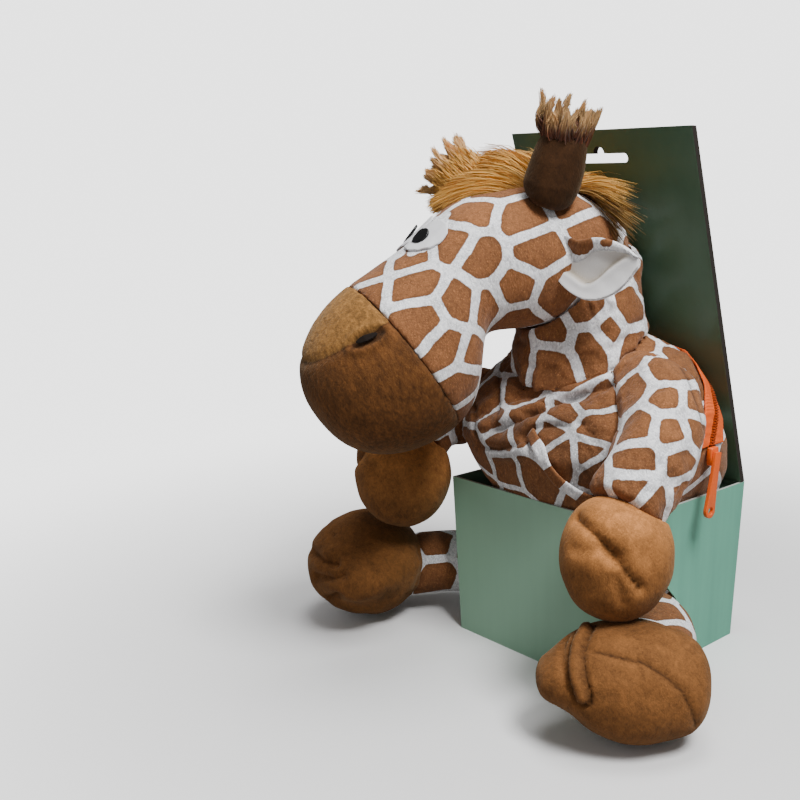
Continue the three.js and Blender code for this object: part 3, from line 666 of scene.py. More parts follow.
def pile_group():
    """Short pile: brushed light and dark, with fine fibres along the nap, and painted shade that darkens it in
    seams and folds.
    """
    found = bpy.data.node_groups.get("Plush Pile")
    if found:
        return found
    sheet, given, result = new_group(
        "Plush Pile",
        [
            ("Colour", "NodeSocketColor", (0.5, 0.5, 0.5, 1)),
            ("Brushed", "NodeSocketFloat", 0.3),
            ("Fibre", "NodeSocketFloat", 0.3),
            ("Flecks", "NodeSocketFloat", 0.2),
        ],
        [("Colour", "NodeSocketColor"), ("Height", "NodeSocketFloat")],
    )
    fibre = sheet.noise(1050, 3.0, 0.7, (1, 1, 2.6), NAP_TURN, 0.3)
    tuft = sheet.noise(330, 3.0, 0.6, (1, 1, 1.9), NAP_TURN, 0.6)
    brushed = sheet.noise(62, 3.0, 0.55, (1, 1, 1.4), NAP_TURN, 1.0)
    fine, coarse, wide = (sheet.math("SUBTRACT", grain, 0.5) for grain in (fibre, tuft, brushed))
    spread = sheet.math("MULTIPLY", sheet.math("ADD", fine, coarse), given.outputs["Fibre"])
    sweep = sheet.math("MULTIPLY", wide, given.outputs["Brushed"])
    flecks = sheet.math("MULTIPLY", sheet.ramp(fibre, 0.56, 0.74), given.outputs["Flecks"])
    gain = sheet.times_plus(sheet.math("ADD", spread, sweep), 3.0, 1.0)
    gain = sheet.math("MAXIMUM", sheet.math("ADD", gain, flecks), 0.25)
    # Painted shade: the stored seam value darkens the pile in seams, under folds, in puckers and in hollows.
    painted_shade = sheet.math("MULTIPLY", sheet.stored("seam"), 0.7, clamp=True)
    lit = sheet.scaled(given.outputs["Colour"], gain)
    sheet.feed(sheet.scaled(lit, sheet.math("SUBTRACT", 1.0, painted_shade)), result.inputs["Colour"])
    height = sheet.math("ADD", sheet.math("MULTIPLY", fibre, 0.6), sheet.math("MULTIPLY", tuft, 0.8))
    sheet.feed(height, result.inputs["Height"])
    return sheet.tree


def new_material(name):
    """A material with its sheet of nodes and its Principled shader."""
    material = bpy.data.materials.new(name)
    material.use_nodes = True
    sheet = Sheet(material.node_tree)
    shader = next(n for n in sheet.tree.nodes if n.type == "BSDF_PRINCIPLED")
    return material, sheet, shader


def once(make):
    """Lets a function make its material only the first time that its name is asked for."""

    @functools.wraps(make)
    def made(name, *values):
        return bpy.data.materials.get(name) or make(name, *values)

    return made


def use_pile(sheet, shader, colour, brushed, fibre, depth, flecks, sheen, tint):
    """Runs a colour through the pile group and onto the shader, with the pile's bump and sheen."""
    look = {"Colour": colour, "Brushed": brushed, "Fibre": fibre, "Flecks": flecks}
    pile = sheet.add("ShaderNodeGroup", node_tree=pile_group())
    sheet.set(pile, look)
    sheet.bump(shader, pile.outputs["Height"], 0.8, depth)
    surface = {
        "Base Color": pile.outputs["Colour"],
        "Roughness": 0.85,
        "Specular IOR Level": 0.2,
        "Sheen Weight": sheen,
        "Sheen Roughness": 0.4,
        "Sheen Tint": tint,
    }
    sheet.set(shader, surface)


@once
def spotted_material(name):
    """Spotted plush: brown patches in a white net."""
    settings = bpy.context.scene.giraffe_plush
    material, sheet, shader = new_material(name)
    ragged = sheet.math("MULTIPLY", sheet.math("SUBTRACT", sheet.noise(420, 3.0, 0.6), 0.5), 1.1)
    edge = sheet.math("ADD", sheet.stored("patch_edge"), ragged)
    half = settings.net_width / MM / 2
    inside = sheet.ramp(edge, half - 0.25, half + 0.35)
    rim = sheet.ramp(edge, half + 3.0, half)
    brown = sheet.scaled(settings.patch, sheet.times_plus(sheet.stored("patch_tone"), 0.12, 1.0))
    deep = sheet.mix(sheet.math("MULTIPLY", rim, 0.5), brown, [c * 0.5 for c in settings.patch])
    both = sheet.mix(inside, settings.net, deep)
    use_pile(sheet, shader, both, 0.16, 0.34, 0.0009, 0.95, 0.18, (1.0, 0.93, 0.88))
    return material


@once
def plain_material(name, colour):
    """Plain brown plush of hands, feet and horns, lightened by the painted light that the hands store, as nap,
    on their upward faces.
    """
    material, sheet, shader = new_material(name)
    # Painted light: the stored nap value makes the cloth lighter where it faces up, as if lit from above.
    light = sheet.scaled(colour, sheet.times_plus(sheet.stored("nap"), 1.5, 1.0))
    use_pile(sheet, shader, light, 0.34, 0.34, 0.0007, 0.12, 0.15, (1.0, 0.78, 0.5))
    return material


@once
def muzzle_material(name):
    """The muzzle's plush: a tan upper panel and a dark lower one, with their nap."""
    settings = bpy.context.scene.giraffe_plush
    material, sheet, shader = new_material(name)
    nap = sheet.math("MULTIPLY", sheet.math("SUBTRACT", sheet.noise(500, 3.0, 0.6), 0.5), 0.8)
    upper = sheet.ramp(sheet.math("ADD", sheet.stored("panel"), nap), -0.4, 0.4)
    colour = sheet.mix(upper, settings.muzzle, settings.nose)
    streak = sheet.noise(420, 2.0, 0.6, (1, 1, 5), (0.22, -0.53, 0.0), 0.2)
    combed = sheet.scaled(colour, sheet.times_plus(streak, 1.5, 0.22))
    use_pile(sheet, shader, combed, 0.25, 0.40, 0.0009, 0.2, 0.2, (1.0, 0.8, 0.55))
    return material


@once
def felt_material(name, colour, roughness=0.95):
    """Flat felt with its matted fibres, darker and warmer where painted shade is stored in its folds."""
    material, sheet, shader = new_material(name)
    fibre = sheet.noise(1300, 4.0, 0.7)
    cloud = sheet.noise(160, 2.0, 0.5)
    shade = sheet.math("ADD", sheet.math("MULTIPLY", fibre, 0.16), sheet.math("MULTIPLY", cloud, 0.14))
    # Painted shade: the stored seam value darkens the felt in its folds and tints it warm there.
    folded = sheet.math("SUBTRACT", 1.0, sheet.math("MULTIPLY", sheet.stored("seam"), 0.6))
    tint = sheet.scaled(colour, sheet.math("MULTIPLY", sheet.math("ADD", shade, 0.85), folded))
    fold_shade_tint = sheet.mix(sheet.stored("seam"), (1, 1, 1), (1.0, 0.86, 0.66))
    both = sheet.add("ShaderNodeVectorMath", {0: tint, 1: fold_shade_tint}, operation="MULTIPLY")
    sheet.bump(shader, fibre, 0.5, 0.0003)
    surface = {
        "Base Color": both.outputs[0],
        "Roughness": roughness,
        "Sheen Weight": 0.2 if colour[0] > 0.1 else 0.0,
        "Specular IOR Level": 0.2 if roughness > 0.5 else 0.6,
    }
    sheet.set(shader, surface)
    return material


@once
def fur_material(name, root, tip, start, end):
    """Long fur that changes colour from its roots to its tips."""
    material, sheet, shader = new_material(name)
    colour = sheet.mix(sheet.ramp(sheet.stored("along"), start, end), root, tip)
    # The stored strand value is each strand's own tone, with painted shade on the mane's rear strands.
    tint = sheet.scaled(colour, sheet.times_plus(sheet.stored("strand"), 1.15, 0.10))
    surface = {"Base Color": tint, "Roughness": 0.5, "Specular IOR Level": 0.35, "Sheen Weight": 0.2}
    sheet.set(shader, surface)
    return material


@once
def board_material(name, colour, streaks, roughness=0.42):
    """Coloured board: smooth, with faint upright streaks and a soft gloss."""
    material, sheet, shader = new_material(name)
    streak = sheet.noise(90, 3.0, 0.6, (1, 1, 20))
    cloud = sheet.noise(22, 4.0, 0.6, (1, 1, 1.6))
    spread = sheet.math("ADD", sheet.math("SUBTRACT", streak, 0.5), sheet.math("SUBTRACT", cloud, 0.5))
    rub = sheet.noise(45, 4.0, 0.6)
    surface = {
        "Base Color": sheet.scaled(colour, sheet.times_plus(spread, streaks, 1.0)),
        "Roughness": sheet.times_plus(rub, 0.2, roughness - 0.1),
    }
    sheet.set(shader, surface)
    sheet.bump(shader, cloud, 0.25, 0.0004)
    return material


@once
def edge_material(name, colour):
    """Cut edge of the board, with its layers."""
    material, sheet, shader = new_material(name)
    layer = sheet.noise(1200, 2.0, 0.5, (1, 3, 1))
    sheet.set(shader, {"Base Color": sheet.scaled(colour, sheet.times_plus(layer, 0.8, 0.6)), "Roughness": 0.9})
    return material


@once
def zip_material(name, weave, roughness, dark=1.0):
    """Orange of the zip: woven tape, moulded teeth or soft pull."""
    settings = bpy.context.scene.giraffe_zip
    material, sheet, shader = new_material(name)
    place = sheet.add("ShaderNodeTexCoord").outputs["Object"]
    wave = sheet.add("ShaderNodeTexWave", {"Vector": place, "Scale": 420, "Distortion": 1.5})
    grain = sheet.times_plus(sheet.noise(700, 3.0, 0.6), 0.4, 0.8)
    tint = sheet.scaled([c * dark for c in settings.orange], grain)
    sheet.set(shader, {"Base Color": tint, "Roughness": roughness})
    sheet.bump(shader, wave.outputs["Fac"], weave, 0.0003)
    return material


# Carton


def boxed(node, bevel):
    """A board piece from its CAD node, with its edges broken a little."""
    form = bmesh.new()
    form.from_mesh(solid(node))
    bmesh.ops.remove_doubles(form, verts=form.verts, dist=1e-6)
    bmesh.ops.dissolve_limit(form, angle_limit=math.radians(1), verts=form.verts, edges=form.edges)
    sharp = [e for e in form.edges if e.is_manifold and e.calc_face_angle(0) > math.radians(35)]
    bmesh.ops.bevel(form, geom=sharp, offset=bevel, segments=2, profile=0.6, affect="EDGES", clamp_overlap=True)
    mesh = bpy.data.meshes.new(node)
    form.to_mesh(mesh)
    form.free()
    return mesh


BOARD_BEVEL = 0.0003


class GIRAFFE_OT_carton(bpy.types.Operator):
    """Make the open tray and the leaning back card"""

    bl_idname = "giraffe.carton"
    bl_label = "Carton"

    def execute(self, context):
        settings = context.scene.giraffe_carton
        front = board_material("Board Front", settings.front, 0.10)
        side = board_material("Board Side", settings.side, 0.30)
        card = board_material("Board Card", settings.card, 0.20, 0.38)
        # The tray's inside is a darker copy of its front: painted shade.
        inner = board_material("Shaded Board Inside", [c * 0.5 for c in settings.front], 0.1, 0.6)
        rim = edge_material("Board Rim", (0.42, 0.46, 0.42))
        # The card's cut edge is near-black: painted shade in its thickness.
        edge = edge_material("Shaded Board Edge", settings.edge)

        mesh = boxed("carton_tray", BOARD_BEVEL)
        add_piece("carton_tray", "board", mesh, front)
        for material in (side, inner, rim):
            mesh.materials.append(material)
        _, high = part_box("carton_tray")
        for face in mesh.polygons:
            c, n = face.center, face.normal
            outward = n.x * c.x + n.y * c.y > 0
            if n.z > 0.7 and c.z > high.z - 0.001:
                face.material_index = 3
            # Upward and inward faces take the inside board with its painted shade.
            elif n.z > 0.5 or (abs(n.z) < 0.5 and not outward):
                face.material_index = 2
            elif abs(n.x) > 0.7:
                face.material_index = 1
        mesh.update()

        mesh = boxed("carton_back_card", BOARD_BEVEL)
        add_piece("carton_back_card", "board", mesh, card)
        mesh.materials.append(edge)
        for face in mesh.polygons:
            if abs(face.normal.y) < 0.8:
                face.material_index = 1
        mesh.update()
        return {"FINISHED"}


# Trunk

# Places and lines are pixels that the camera sees them at. Each fold also has a height and a width in
# millimetres, and its cloth lies over on one side.
BELLY_PATCHES = [
    (521, 397), (581, 380), (591, 400), (562, 413), (527, 419), (552, 432), (593, 432), (484, 403),
    (493, 422), (494, 440), (506, 466), (562, 453), (600, 472), (587, 450), (478, 450), (535, 480),
]
BELLY_FOLDS = [
    ([(620, 378), (590, 388), (567, 398), (542, 407), (518, 417), (500, 425), (490, 427)], 6.5, 6.5),
    ([(503, 432), (502, 415), (500, 395), (501, 368)], 2.8, 4.5),
    ([(580, 424), (548, 423), (530, 427), (522, 438), (530, 452)], 3.4, 4.5),
    ([(474, 392), (473, 415), (474, 432), (480, 450)], 2.4, 4.0),
    ([(480, 449), (500, 452), (516, 448), (532, 436)], 3.0, 4.5),
]
# By how much the belly's patches grow into the net, in millimetres
BELLY_NET_THINNED = 0.9
# Places in the belly's shaded hollow, with its reach and its depth of shade
BELLY_HOLLOW_REACH = 0.016
BELLY_HOLLOW_SHADE = 0.62
BELLY_HOLLOW = [(520, 430), (545, 428), (570, 420), (590, 430), (560, 445), (600, 455), (585, 470), (500, 445)]
STRAP_SEEN = [(533, 433), (541, 449), (550, 464), (561, 479), (575, 490), (592, 500)]
STRAP_WIDTH = 0.0085
STRAP_THICKNESS = 0.0018
# Half of the strap's cross-section as shares of its width and its thickness, and its bands: how far
# along the strap, and the distance to a patch's edge there in millimetres, below nothing in the net
STRAP_PROFILE = [(-1, 0), (-0.92, 0.42), (-0.5, 0.5), (0, 0.5), (0.5, 0.5), (0.92, 0.42)]
STRAP_BANDS = [
    (0, 5), (0.14, 5), (0.16, -2), (0.4, -2), (0.43, 6), (0.64, 6), (0.67, -2), (0.84, -2), (0.87, 6), (1, 6),
]
NECK_PATCHES = [
    (551, 334), (551, 359), (521, 344), (592, 344), (588, 309), (629, 311), (633, 346), (653, 324), (610, 330),
]
NECK_PUCKERS = [
    [(587, 298), (591, 308), (593, 318)],
    [(596, 296), (600, 305), (603, 315)],
    [(605, 297), (609, 304), (612, 310)],
]


def puckers(mesh, middle, normal, count, height, reach, seed):
    """Short gathers in the cloth that run off a seam and die away, with painted shade in their hollows."""
    co = points_of(mesh)
    middle, normal = np.asarray(middle), unit(np.asarray(normal, dtype=float))
    from_seam = (co - middle) @ normal
    flat = (co - middle) - from_seam[:, None] * normal
    first = unit(np.cross(normal, (0.31, 0.87, 0.38)))
    second = np.cross(normal, first)
    angle = np.arctan2(flat @ second, flat @ first)
    wobble = waves(co, 0.05, seed)
    wave = np.sin(count * angle + 2.2 * wobble) * (0.6 + 0.4 * np.sin(2.7 * angle + seed))
    fade = bell(from_seam, reach, 1.5)
    push(mesh, height * wave * fade)
    return np.clip(-wave, 0, 1) * fade * 0.35


def smoothed(line, rounds=3):
    """A line with its corners rounded off."""
    for _ in range(rounds):
        cut = [line[0]]
        for a, b in zip(line[:-1], line[1:]):
            cut += [a * 0.75 + b * 0.25, a * 0.25 + b * 0.75]
        line = np.array(cut + [line[-1]])
    return line


def laid_strap(tree):
    """The narrow strap that lies across the belly, in bands of brown and white."""
    line = smoothed(seen(tree, STRAP_SEEN, 4.0)[::3])
    places, ways = evenly(line, 0.0012)
    count = len(places)
    normals = np.array([np.array(tree.find_nearest(Vector(p))[1]) for p in places])
    for _ in range(6):
        normals[1:-1] = (normals[:-2] + normals[1:-1] * 2 + normals[2:]) / 4
        places[1:-1] = (places[:-2] + places[1:-1] * 2 + places[2:]) / 4
    normals = unit(normals)
    across = unit(np.cross(ways, normals))
    share = np.linspace(0, 1, count)
    lift = 0.0022 + 0.0016 * np.sin(math.pi * share)
    profile = STRAP_PROFILE + [(-u, -v) for u, v in STRAP_PROFILE]
    rings = []
    for u, v in profile:
        narrow = 1 - 0.06 * np.sin(share * 19.0)
        shift = across * (u * STRAP_WIDTH / 2 * narrow)[:, None]
        rings.append(places + shift + normals * (lift + v * STRAP_THICKNESS)[:, None])
    sides = len(profile)
    rings = np.stack(rings, axis=1).reshape(-1, 3)
    mesh = mesh_from("front_strap", rings, tube_faces(count, sides))
    band = np.interp(np.repeat(share, sides), *zip(*STRAP_BANDS))
    note_seams(mesh, [])
    paint(mesh, "patch_edge", band)
    paint(mesh, "patch_tone", np.zeros(len(band)))
    return mesh


def away_from(mesh, places):
    """Each point's distance to the nearest of some places."""
    return np.linalg.norm(points_of(mesh)[:, None] - places[None], axis=2).min(axis=1)


class GIRAFFE_OT_trunk(bpy.types.Operator):
    """Make the stuffed belly, the hollow bag behind it, the neck and the front strap"""

    bl_idname = "giraffe.trunk"
    bl_label = "Trunk"

    def execute(self, context):
        cloth = spotted_material("Spotted Plush")
        belly = stuffed("belly", ["back_pocket", "neck"], voxel=0.0016, relax=75, slack=0.05, cap=0.004)
        lumpy(belly, 0.0010, 0.05, 3)
        tree = tree_of(belly)
        # The folds' marks and the hollow are painted shade: under the laps and in the belly's hollow.
        marks = [lap(belly, seen(tree, line), height * MM, width * MM) for line, height, width in BELLY_FOLDS]
        hollow = bell(away_from(belly, seen_points(tree, BELLY_HOLLOW)), BELLY_HOLLOW_REACH)
        note_seams(belly, marks + [hollow * BELLY_HOLLOW_SHADE])
        lay_spots(belly, seen_points(tree, BELLY_PATCHES), 11, 0.034)
        change_edges(belly, lambda edges: edges + BELLY_NET_THINNED)
        add_piece("belly", "plush", belly, cloth)

        pocket = stuffed("back_pocket", ["belly"], voxel=0.0018, relax=12, groove=0.0006)
        note_seams(pocket, [])
        lay_spots(pocket, [], 12)
        add_piece("back_pocket", "plush", pocket, cloth)

        neck = stuffed("neck", ["head", "belly", "back_pocket"], slack=0.04, cap=0.003)
        low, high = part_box("neck")
        middle = (low + high) / 2
        marks = [
            puckers(neck, (middle.x, middle.y, low.z + 0.008), (0, 0, 1), 13, 0.0013, 0.014, 5),
            puckers(neck, (middle.x, middle.y, high.z - 0.018), (0, -0.3, 1), 17, 0.0016, 0.013, 6),
        ]
        lumpy(neck, 0.0010, 0.04, 8)
        tree = tree_of(neck)
        marks += [draw_in(neck, seen(tree, line, 3.0), 0.0022, 0.0022) * 0.6 for line in NECK_PUCKERS]
        # The puckers' and gathers' marks are painted shade in their hollows.
        note_seams(neck, marks)
        lay_spots(neck, seen_points(tree_of(neck), NECK_PATCHES), 13)
        add_piece("neck", "plush", neck, cloth)

        strap = laid_strap(tree_of(belly))
        add_piece("front_strap", "plush", strap, cloth)
        return {"FINISHED"}


# Zip

# A tooth: its outline as shares of the pitch and its height, how far it stands from the middle, half of
# its width, and its height
TOOTH = [(-0.5, -0.5), (0.5, -0.5), (0.7, 0.1), (0.35, 0.5), (-0.35, 0.5), (-0.7, 0.1)]
TOOTH_ASIDE = 0.0011
TOOTH_HALF = 0.0009
TOOTH_HEIGHT = 0.0018


def zip_course(mesh, count):
    """Middle places of a band that arches over the trunk, from one end to the other."""
    co = points_of(mesh)
    low, high = co.min(axis=0), co.max(axis=0)
    hub = np.array([(low[0] + high[0]) / 2, low[2] + (high[2] - low[2]) * 0.1])
    angle = np.arctan2(co[:, 2] - hub[1], co[:, 0] - hub[0])
    edges = np.linspace(angle.min(), angle.max(), count + 1)
    which = np.clip(np.digitize(angle, edges) - 1, 0, count - 1)
    return np.array([co[which == i].mean(axis=0) for i in range(count) if (which == i).any()])


def evenly(line, pitch):
    """Places along a line a pitch apart, with their directions."""
    step = np.linalg.norm(np.diff(line, axis=0), axis=1)
    far = np.concatenate([[0], np.cumsum(step)])
    spots = np.arange(pitch / 2, far[-1], pitch)
    places = np.stack([np.interp(spots, far, line[:, k]) for k in range(3)], axis=1)
    ways = np.gradient(places, axis=0)
    return places, unit(ways)


def zip_runs(course):
    """The parts of a course that hang together, where the neck leaves a break in it."""
    step = np.linalg.norm(np.diff(course, axis=0), axis=1)
    cuts = np.where(step > max(0.012, np.median(step) * 4))[0] + 1
    return [run for run in np.split(course, cuts) if len(run) > 3]


class GIRAFFE_OT_zip(bpy.types.Operator):
    """Make the orange zip: two tapes, a row of teeth, the slider and its pull"""

    bl_idname = "giraffe.zip"
    bl_label = "Zip"

    def execute(self, context):
        settings = context.scene.giraffe_zip
        tape = zip_material("Zip Tape", 0.8, 0.75)
        moulded = zip_material("Zip Teeth", 0.2, 0.45, 0.5)
        soft = zip_material("Zip Pull", 0.15, 0.38)
        for node in ("zip_tape_front", "zip_tape_back"):
            mesh = stuffed(node, voxel=0.0007, relax=6)
            add_piece(node, "cloth", mesh, tape)

        band = stuffed("zip_coil", voxel=0.0009, relax=6)
        middle = np.array(middle_of("zip_coil"))
        points, faces = [], []
        for run in zip_runs(zip_course(band, 160)):
            places, ways = evenly(run, settings.pitch)
            for place, way in zip(places, ways):
                out = place - middle
                out = unit(out - way * (out @ way))
                across = np.cross(way, out)
                for side in (-1, 1):
                    faces += tube_faces(2, len(TOOTH), len(points))
                    spot = place + across * side * TOOTH_ASIDE + way * (0.25 * side * settings.pitch)
                    for end in (-1, 1):
                        for u, v in TOOTH:
                            along = way * u * settings.pitch * 0.55
                            points.append(spot + across * end * TOOTH_HALF + along + out * v * TOOTH_HEIGHT)
        teeth = mesh_from("zip_coil", points, faces, smooth=False)
        add_piece("zip_coil", "teeth", teeth, moulded)

        for node, bevel in (("zip_slider", 0.0008), ("zip_pull", 0.0006)):
            mesh = boxed(node, bevel)
            smooth_faces(mesh)
            add_piece(node, "body", mesh, soft)
        return {"FINISHED"}


# Head

HEAD_PATCHES = [
    (473, 213), (521, 222), (481, 257), (417, 284), (367, 276), (366, 301), (516, 288), (454, 242),
    (534, 249), (459, 304), (425, 321), (449, 344), (473, 354), (465, 383), (486, 310), (516, 320),
    (556, 295), (578, 207), (412, 257), (445, 205), (590, 225),
]
NOSE_SEAM = [(300, 363), (318, 359), (335, 352), (352, 343), (372, 333), (384, 322)]
# The white ground round an eye: places and their radius
EYE_GROUND = [(399, 255), (406, 247), (414, 251), (424, 247), (433, 238), (440, 226), (444, 217), (432, 222)]
EYE_GROUND_RADIUS = 0.0048
# Colours of the eyes' and ears' felt, the nostrils' felt and the pupils' glossy thread
WHITE_FELT = (0.82, 0.82, 0.84)
BLACK_FELT = (0.010, 0.006, 0.004)
BLACK_THREAD = (0.004, 0.004, 0.005)
# The seam between the muzzle's panels: its depth and width. The lip round a nostril: how far from it, its
# width and its height
NOSE_SEAM_DEPTH = 0.0011
NOSE_SEAM_WIDTH = 0.0022
LIP_AWAY = 0.0034
LIP_WIDTH = 0.0018
LIP_HEIGHT = 0.0014
# How much taller the stitched pupils are than their solids, and how much smaller the nostrils are
PUPIL_RAISED = 1.35
NOSTRIL_SHARE = 0.7


def across_head(places, middle):
    """Places on the head, carried over to its other side about a middle."""
    side = np.array(head_frame()[2])
    return places - side * (2 * (places - np.array(middle)) @ side)[:, None]


def head_frame():
    """The head's own directions, from its pupils: its middle, forwards and to its left."""
    left = middle_of("eye_pupil_left")
    right = middle_of("eye_pupil_right")
    side = Vector((left.x - right.x, left.y - right.y, 0)).normalized()
    forward = Vector((side.y, -side.x, 0))
    return (left + right) / 2, forward, side


class GIRAFFE_OT_head(bpy.types.Operator):
    """Make the head, the muzzle, the eyes and the nostrils"""

    bl_idname = "giraffe.head"
    bl_label = "Head"

    def execute(self, context):
        cloth = spotted_material("Spotted Plush")
        head = stuffed("head", ["muzzle", "neck"], relax=45, groove=0.0004, groove_width=0.0016, hold=0.004)
        lumpy(head, 0.0006, 0.05, 21)
        note_seams(head, [])
        tree = tree_of(head)
        lay_spots(head, seen_points(tree, HEAD_PATCHES), 14)
        whites = seen_points(tree, EYE_GROUND)
        whites = np.concatenate([whites, across_head(whites, head_frame()[0])])
        half = context.scene.giraffe_plush.net_width / MM / 2
        ground = half + (away_from(head, whites) - EYE_GROUND_RADIUS) / MM
        change_edges(head, lambda edges: np.minimum(edges, ground))
        add_piece("head", "plush", head, cloth)

        muzzle = stuffed("muzzle", ["head"], relax=45, groove=0.0003, groove_width=0.0016, hold=0.004)
        middle, forward, _ = (np.array(v) for v in head_frame())
        sewn_on = (np.array((0, 0, 0.8)) - forward * 0.6) * 0.0006
        move_points(muzzle, points_of(muzzle) + sewn_on)
        line = seen(tree_of(muzzle), NOSE_SEAM)
        fit = np.polyfit((line - middle) @ forward, line[:, 2] - middle[2], 2)
        co = points_of(muzzle)
        panel = co[:, 2] - middle[2] - np.polyval(fit, (co - middle) @ forward)
        no = normals_of(muzzle)
        outer = distance_to(tree_of(solid("head")), co, 0.01) > 0.001
        push(muzzle, -NOSE_SEAM_DEPTH * bell(panel, NOSE_SEAM_WIDTH) * outer)
        nose = nearness(co, ["nostril_left", "nostril_right"])
        lip = bell(nose - LIP_AWAY, LIP_WIDTH) - 0.9 * bell(nose, 0.0016)
        move_points(muzzle, points_of(muzzle) + no * (LIP_HEIGHT * lip * outer)[:, None])
        # Painted shade along the panels' sunk seam and in the recess round the nostrils.
        note_seams(muzzle, [bell(panel, 0.0008) * outer * 0.8, bell(nose, 0.0012) * outer])
        paint(muzzle, "panel", panel / MM)
        add_piece("muzzle", "plush", muzzle, muzzle_material("Muzzle Plush"))

        white = felt_material("White Felt", WHITE_FELT)
        black = felt_material("Black Felt", BLACK_FELT, 0.8)
        thread = felt_material("Pupil Thread", BLACK_THREAD, 0.16)
        raised = np.array((1.0, 1.0, PUPIL_RAISED))
        for hand in ("left", "right"):
            for node, kind, material, slot, voxel, relax, share in (
                ("eye_white", "felt", white, "white_felt", 0.0006, 5, 1.0),
                ("eye_pupil", "thread", thread, "pupil_thread", 0.0004, 5, raised),
                ("nostril", "felt", black, "black_felt", 0.0005, 4, NOSTRIL_SHARE),
            ):
                mesh = stuffed(f"{node}_{hand}", voxel=voxel, relax=relax)
                co = points_of(mesh)
                centre = co.mean(axis=0)
                move_points(mesh, centre + (co - centre) * share)
                add_piece(f"{node}_{hand}", kind, mesh, material)
        return {"FINISHED"}


# Ears

# The round of the skull that the ears and the mane are placed by
SKULL = Vector((0.0, -0.020, 0.276))
SKULL_RADIUS = 0.045
EAR_LENGTH = 0.057
# An ear's two sheets: how far forward each lies and how far in from the rim, as shares of its length, and
# its thickness. Their length is divided from the sunken root on, which is a share before the ear's start.
LINING_LIFT = 0.024
LINING_INSET = 0.006
LINING_THICKNESS = 0.0020
SHELL_LIFT = -0.004
SHELL_THICKNESS = 0.0036
EAR_START = -0.12
EAR_SPAN = 1.12
# The brown patches on the front of the shell: pixels and a radius in millimetres
EAR_PATCHES = [
    (575, 247, 6.2), (580, 246, 6.6), (585, 244, 5.4), (604, 243, 2.6), (608, 242, 3.0), (612, 240, 2.4),
]
# The ear's outline as shares of its length: how far out, its upper rim, its lower rim, and the lining's
# upper rim
EAR_ROWS = [
    (-0.12, 0.22, 0.02, -0.01),
    (0.0, 0.27, -0.05, 0.0),
    (0.10, 0.30, -0.17, 0.005),
    (0.22, 0.28, -0.29, 0.0),
    (0.36, 0.22, -0.37, 0.0),
    (0.43, 0.23, -0.40, 0.05),
    (0.50, 0.25, -0.415, 0.11),
    (0.60, 0.255, -0.41, 0.13),
    (0.72, 0.23, -0.37, 0.12),
    (0.84, 0.18, -0.28, 0.10),
    (0.93, 0.12, -0.16, 0.07),
    (1.0, 0.04, -0.03, 0.02),
]
# The fold across the ear: how far out, its height, and how far its lower lip stands out, as shares
EAR_FOLD = [
    (-0.12, 0.0, 0.0),
    (0.0, 0.0, 0.02),
    (0.25, -0.12, 0.07),
    (0.46, -0.245, 0.09),
    (0.56, -0.20, 0.09),
    (0.70, -0.06, 0.07),
    (0.87, 0.05, 0.03),
    (1.0, 0.08, 0.0),
]


def curve(share, rows, column):
    """A column of a table at each share, with its corners rounded off."""
    offsets = np.linspace(-0.05, 0.05, 7)
    return np.mean([np.interp(share + o, rows[:, 0], rows[:, column]) for o in offsets], axis=0)


def ear_sheet(sign, lift, inset, lined, across=56, along=56):
    """The cupped and folded sheet of an ear, a grid of points from root to tip and from lower to upper
    rim, and how much painted shade each gets by the fold."""
    _, forward, side = head_frame()
    up = Vector((0, 0, 1))
    side = side * sign
    root = SKULL + forward * (0.84 * SKULL_RADIUS) + side * (0.74 * SKULL_RADIUS) - up * (0.06 * SKULL_RADIUS)
    out = (side * 0.78 - forward * 0.62 + up * 0.03).normalized()
    front = (forward * 0.75 + side * 0.62 + up * 0.1).normalized()
    rise = out.cross(front) if sign < 0 else front.cross(out)
    rows, crease = np.array(EAR_ROWS), np.array(EAR_FOLD)
    u = np.linspace(0, 1, along)[:, None]
    share = EAR_START + EAR_SPAN * (1 - (1 - u) ** 1.3)
    top = curve(share, rows, 1)
    lower = curve(share, rows, 2) + inset
    upper = curve(share, rows, 3) if lined else top - inset
    v = np.linspace(0, 1, across)[None, :]
    height = lower + (upper - lower) * v
    whole = (height - lower) / (top - lower)
    above = height - curve(share, crease, 1)
    lip = curve(share, crease, 2)
    cup = 0.10 * np.abs(2 * whole - 1) ** 2.2 * np.sin(np.pi * np.clip(share * 0.85 + 0.1, 0, 1))
    below = 0.5 - 0.5 * np.tanh(above / 0.020)
    step = below * np.exp(np.minimum(above, 0) / 0.22)
    step = lip * (step - (1 - below) * 0.5 * np.exp(-np.maximum(above, 0) / 0.10))
    roll = 0.06 * bell(whole - 0.90, 0.12) * np.clip(share * 2.5, 0, 1)
    crinkle = 0.004 * np.sin(share * 17 + height * 9) * np.sin(height * 19 + 1.0)
    rootward = 0.16 * np.exp(-(share - EAR_START) / 0.12)
    depth = (cup + step + roll + crinkle - rootward + lift) * EAR_LENGTH
    grid = (
        np.array(root)[None, None]
        + (share * EAR_LENGTH * 1.06 * np.ones_like(v))[..., None] * np.array(out)
        + (height * EAR_LENGTH)[..., None] * np.array(rise)
        + depth[..., None] * np.array(front)
    )
    # Painted shade: deepest just above the fold, dying away upwards, with a little everywhere.
    near = 0.45 * bell(above - 0.016, 0.030) * np.clip(lip * 14, 0, 1)
    near = near + 0.42 * np.exp(-np.maximum(above, 0) / 0.14) * (0.5 + 0.5 * np.tanh(above / 0.02)) + 0.14
    return grid, np.array(front), np.clip(near, 0, 1)


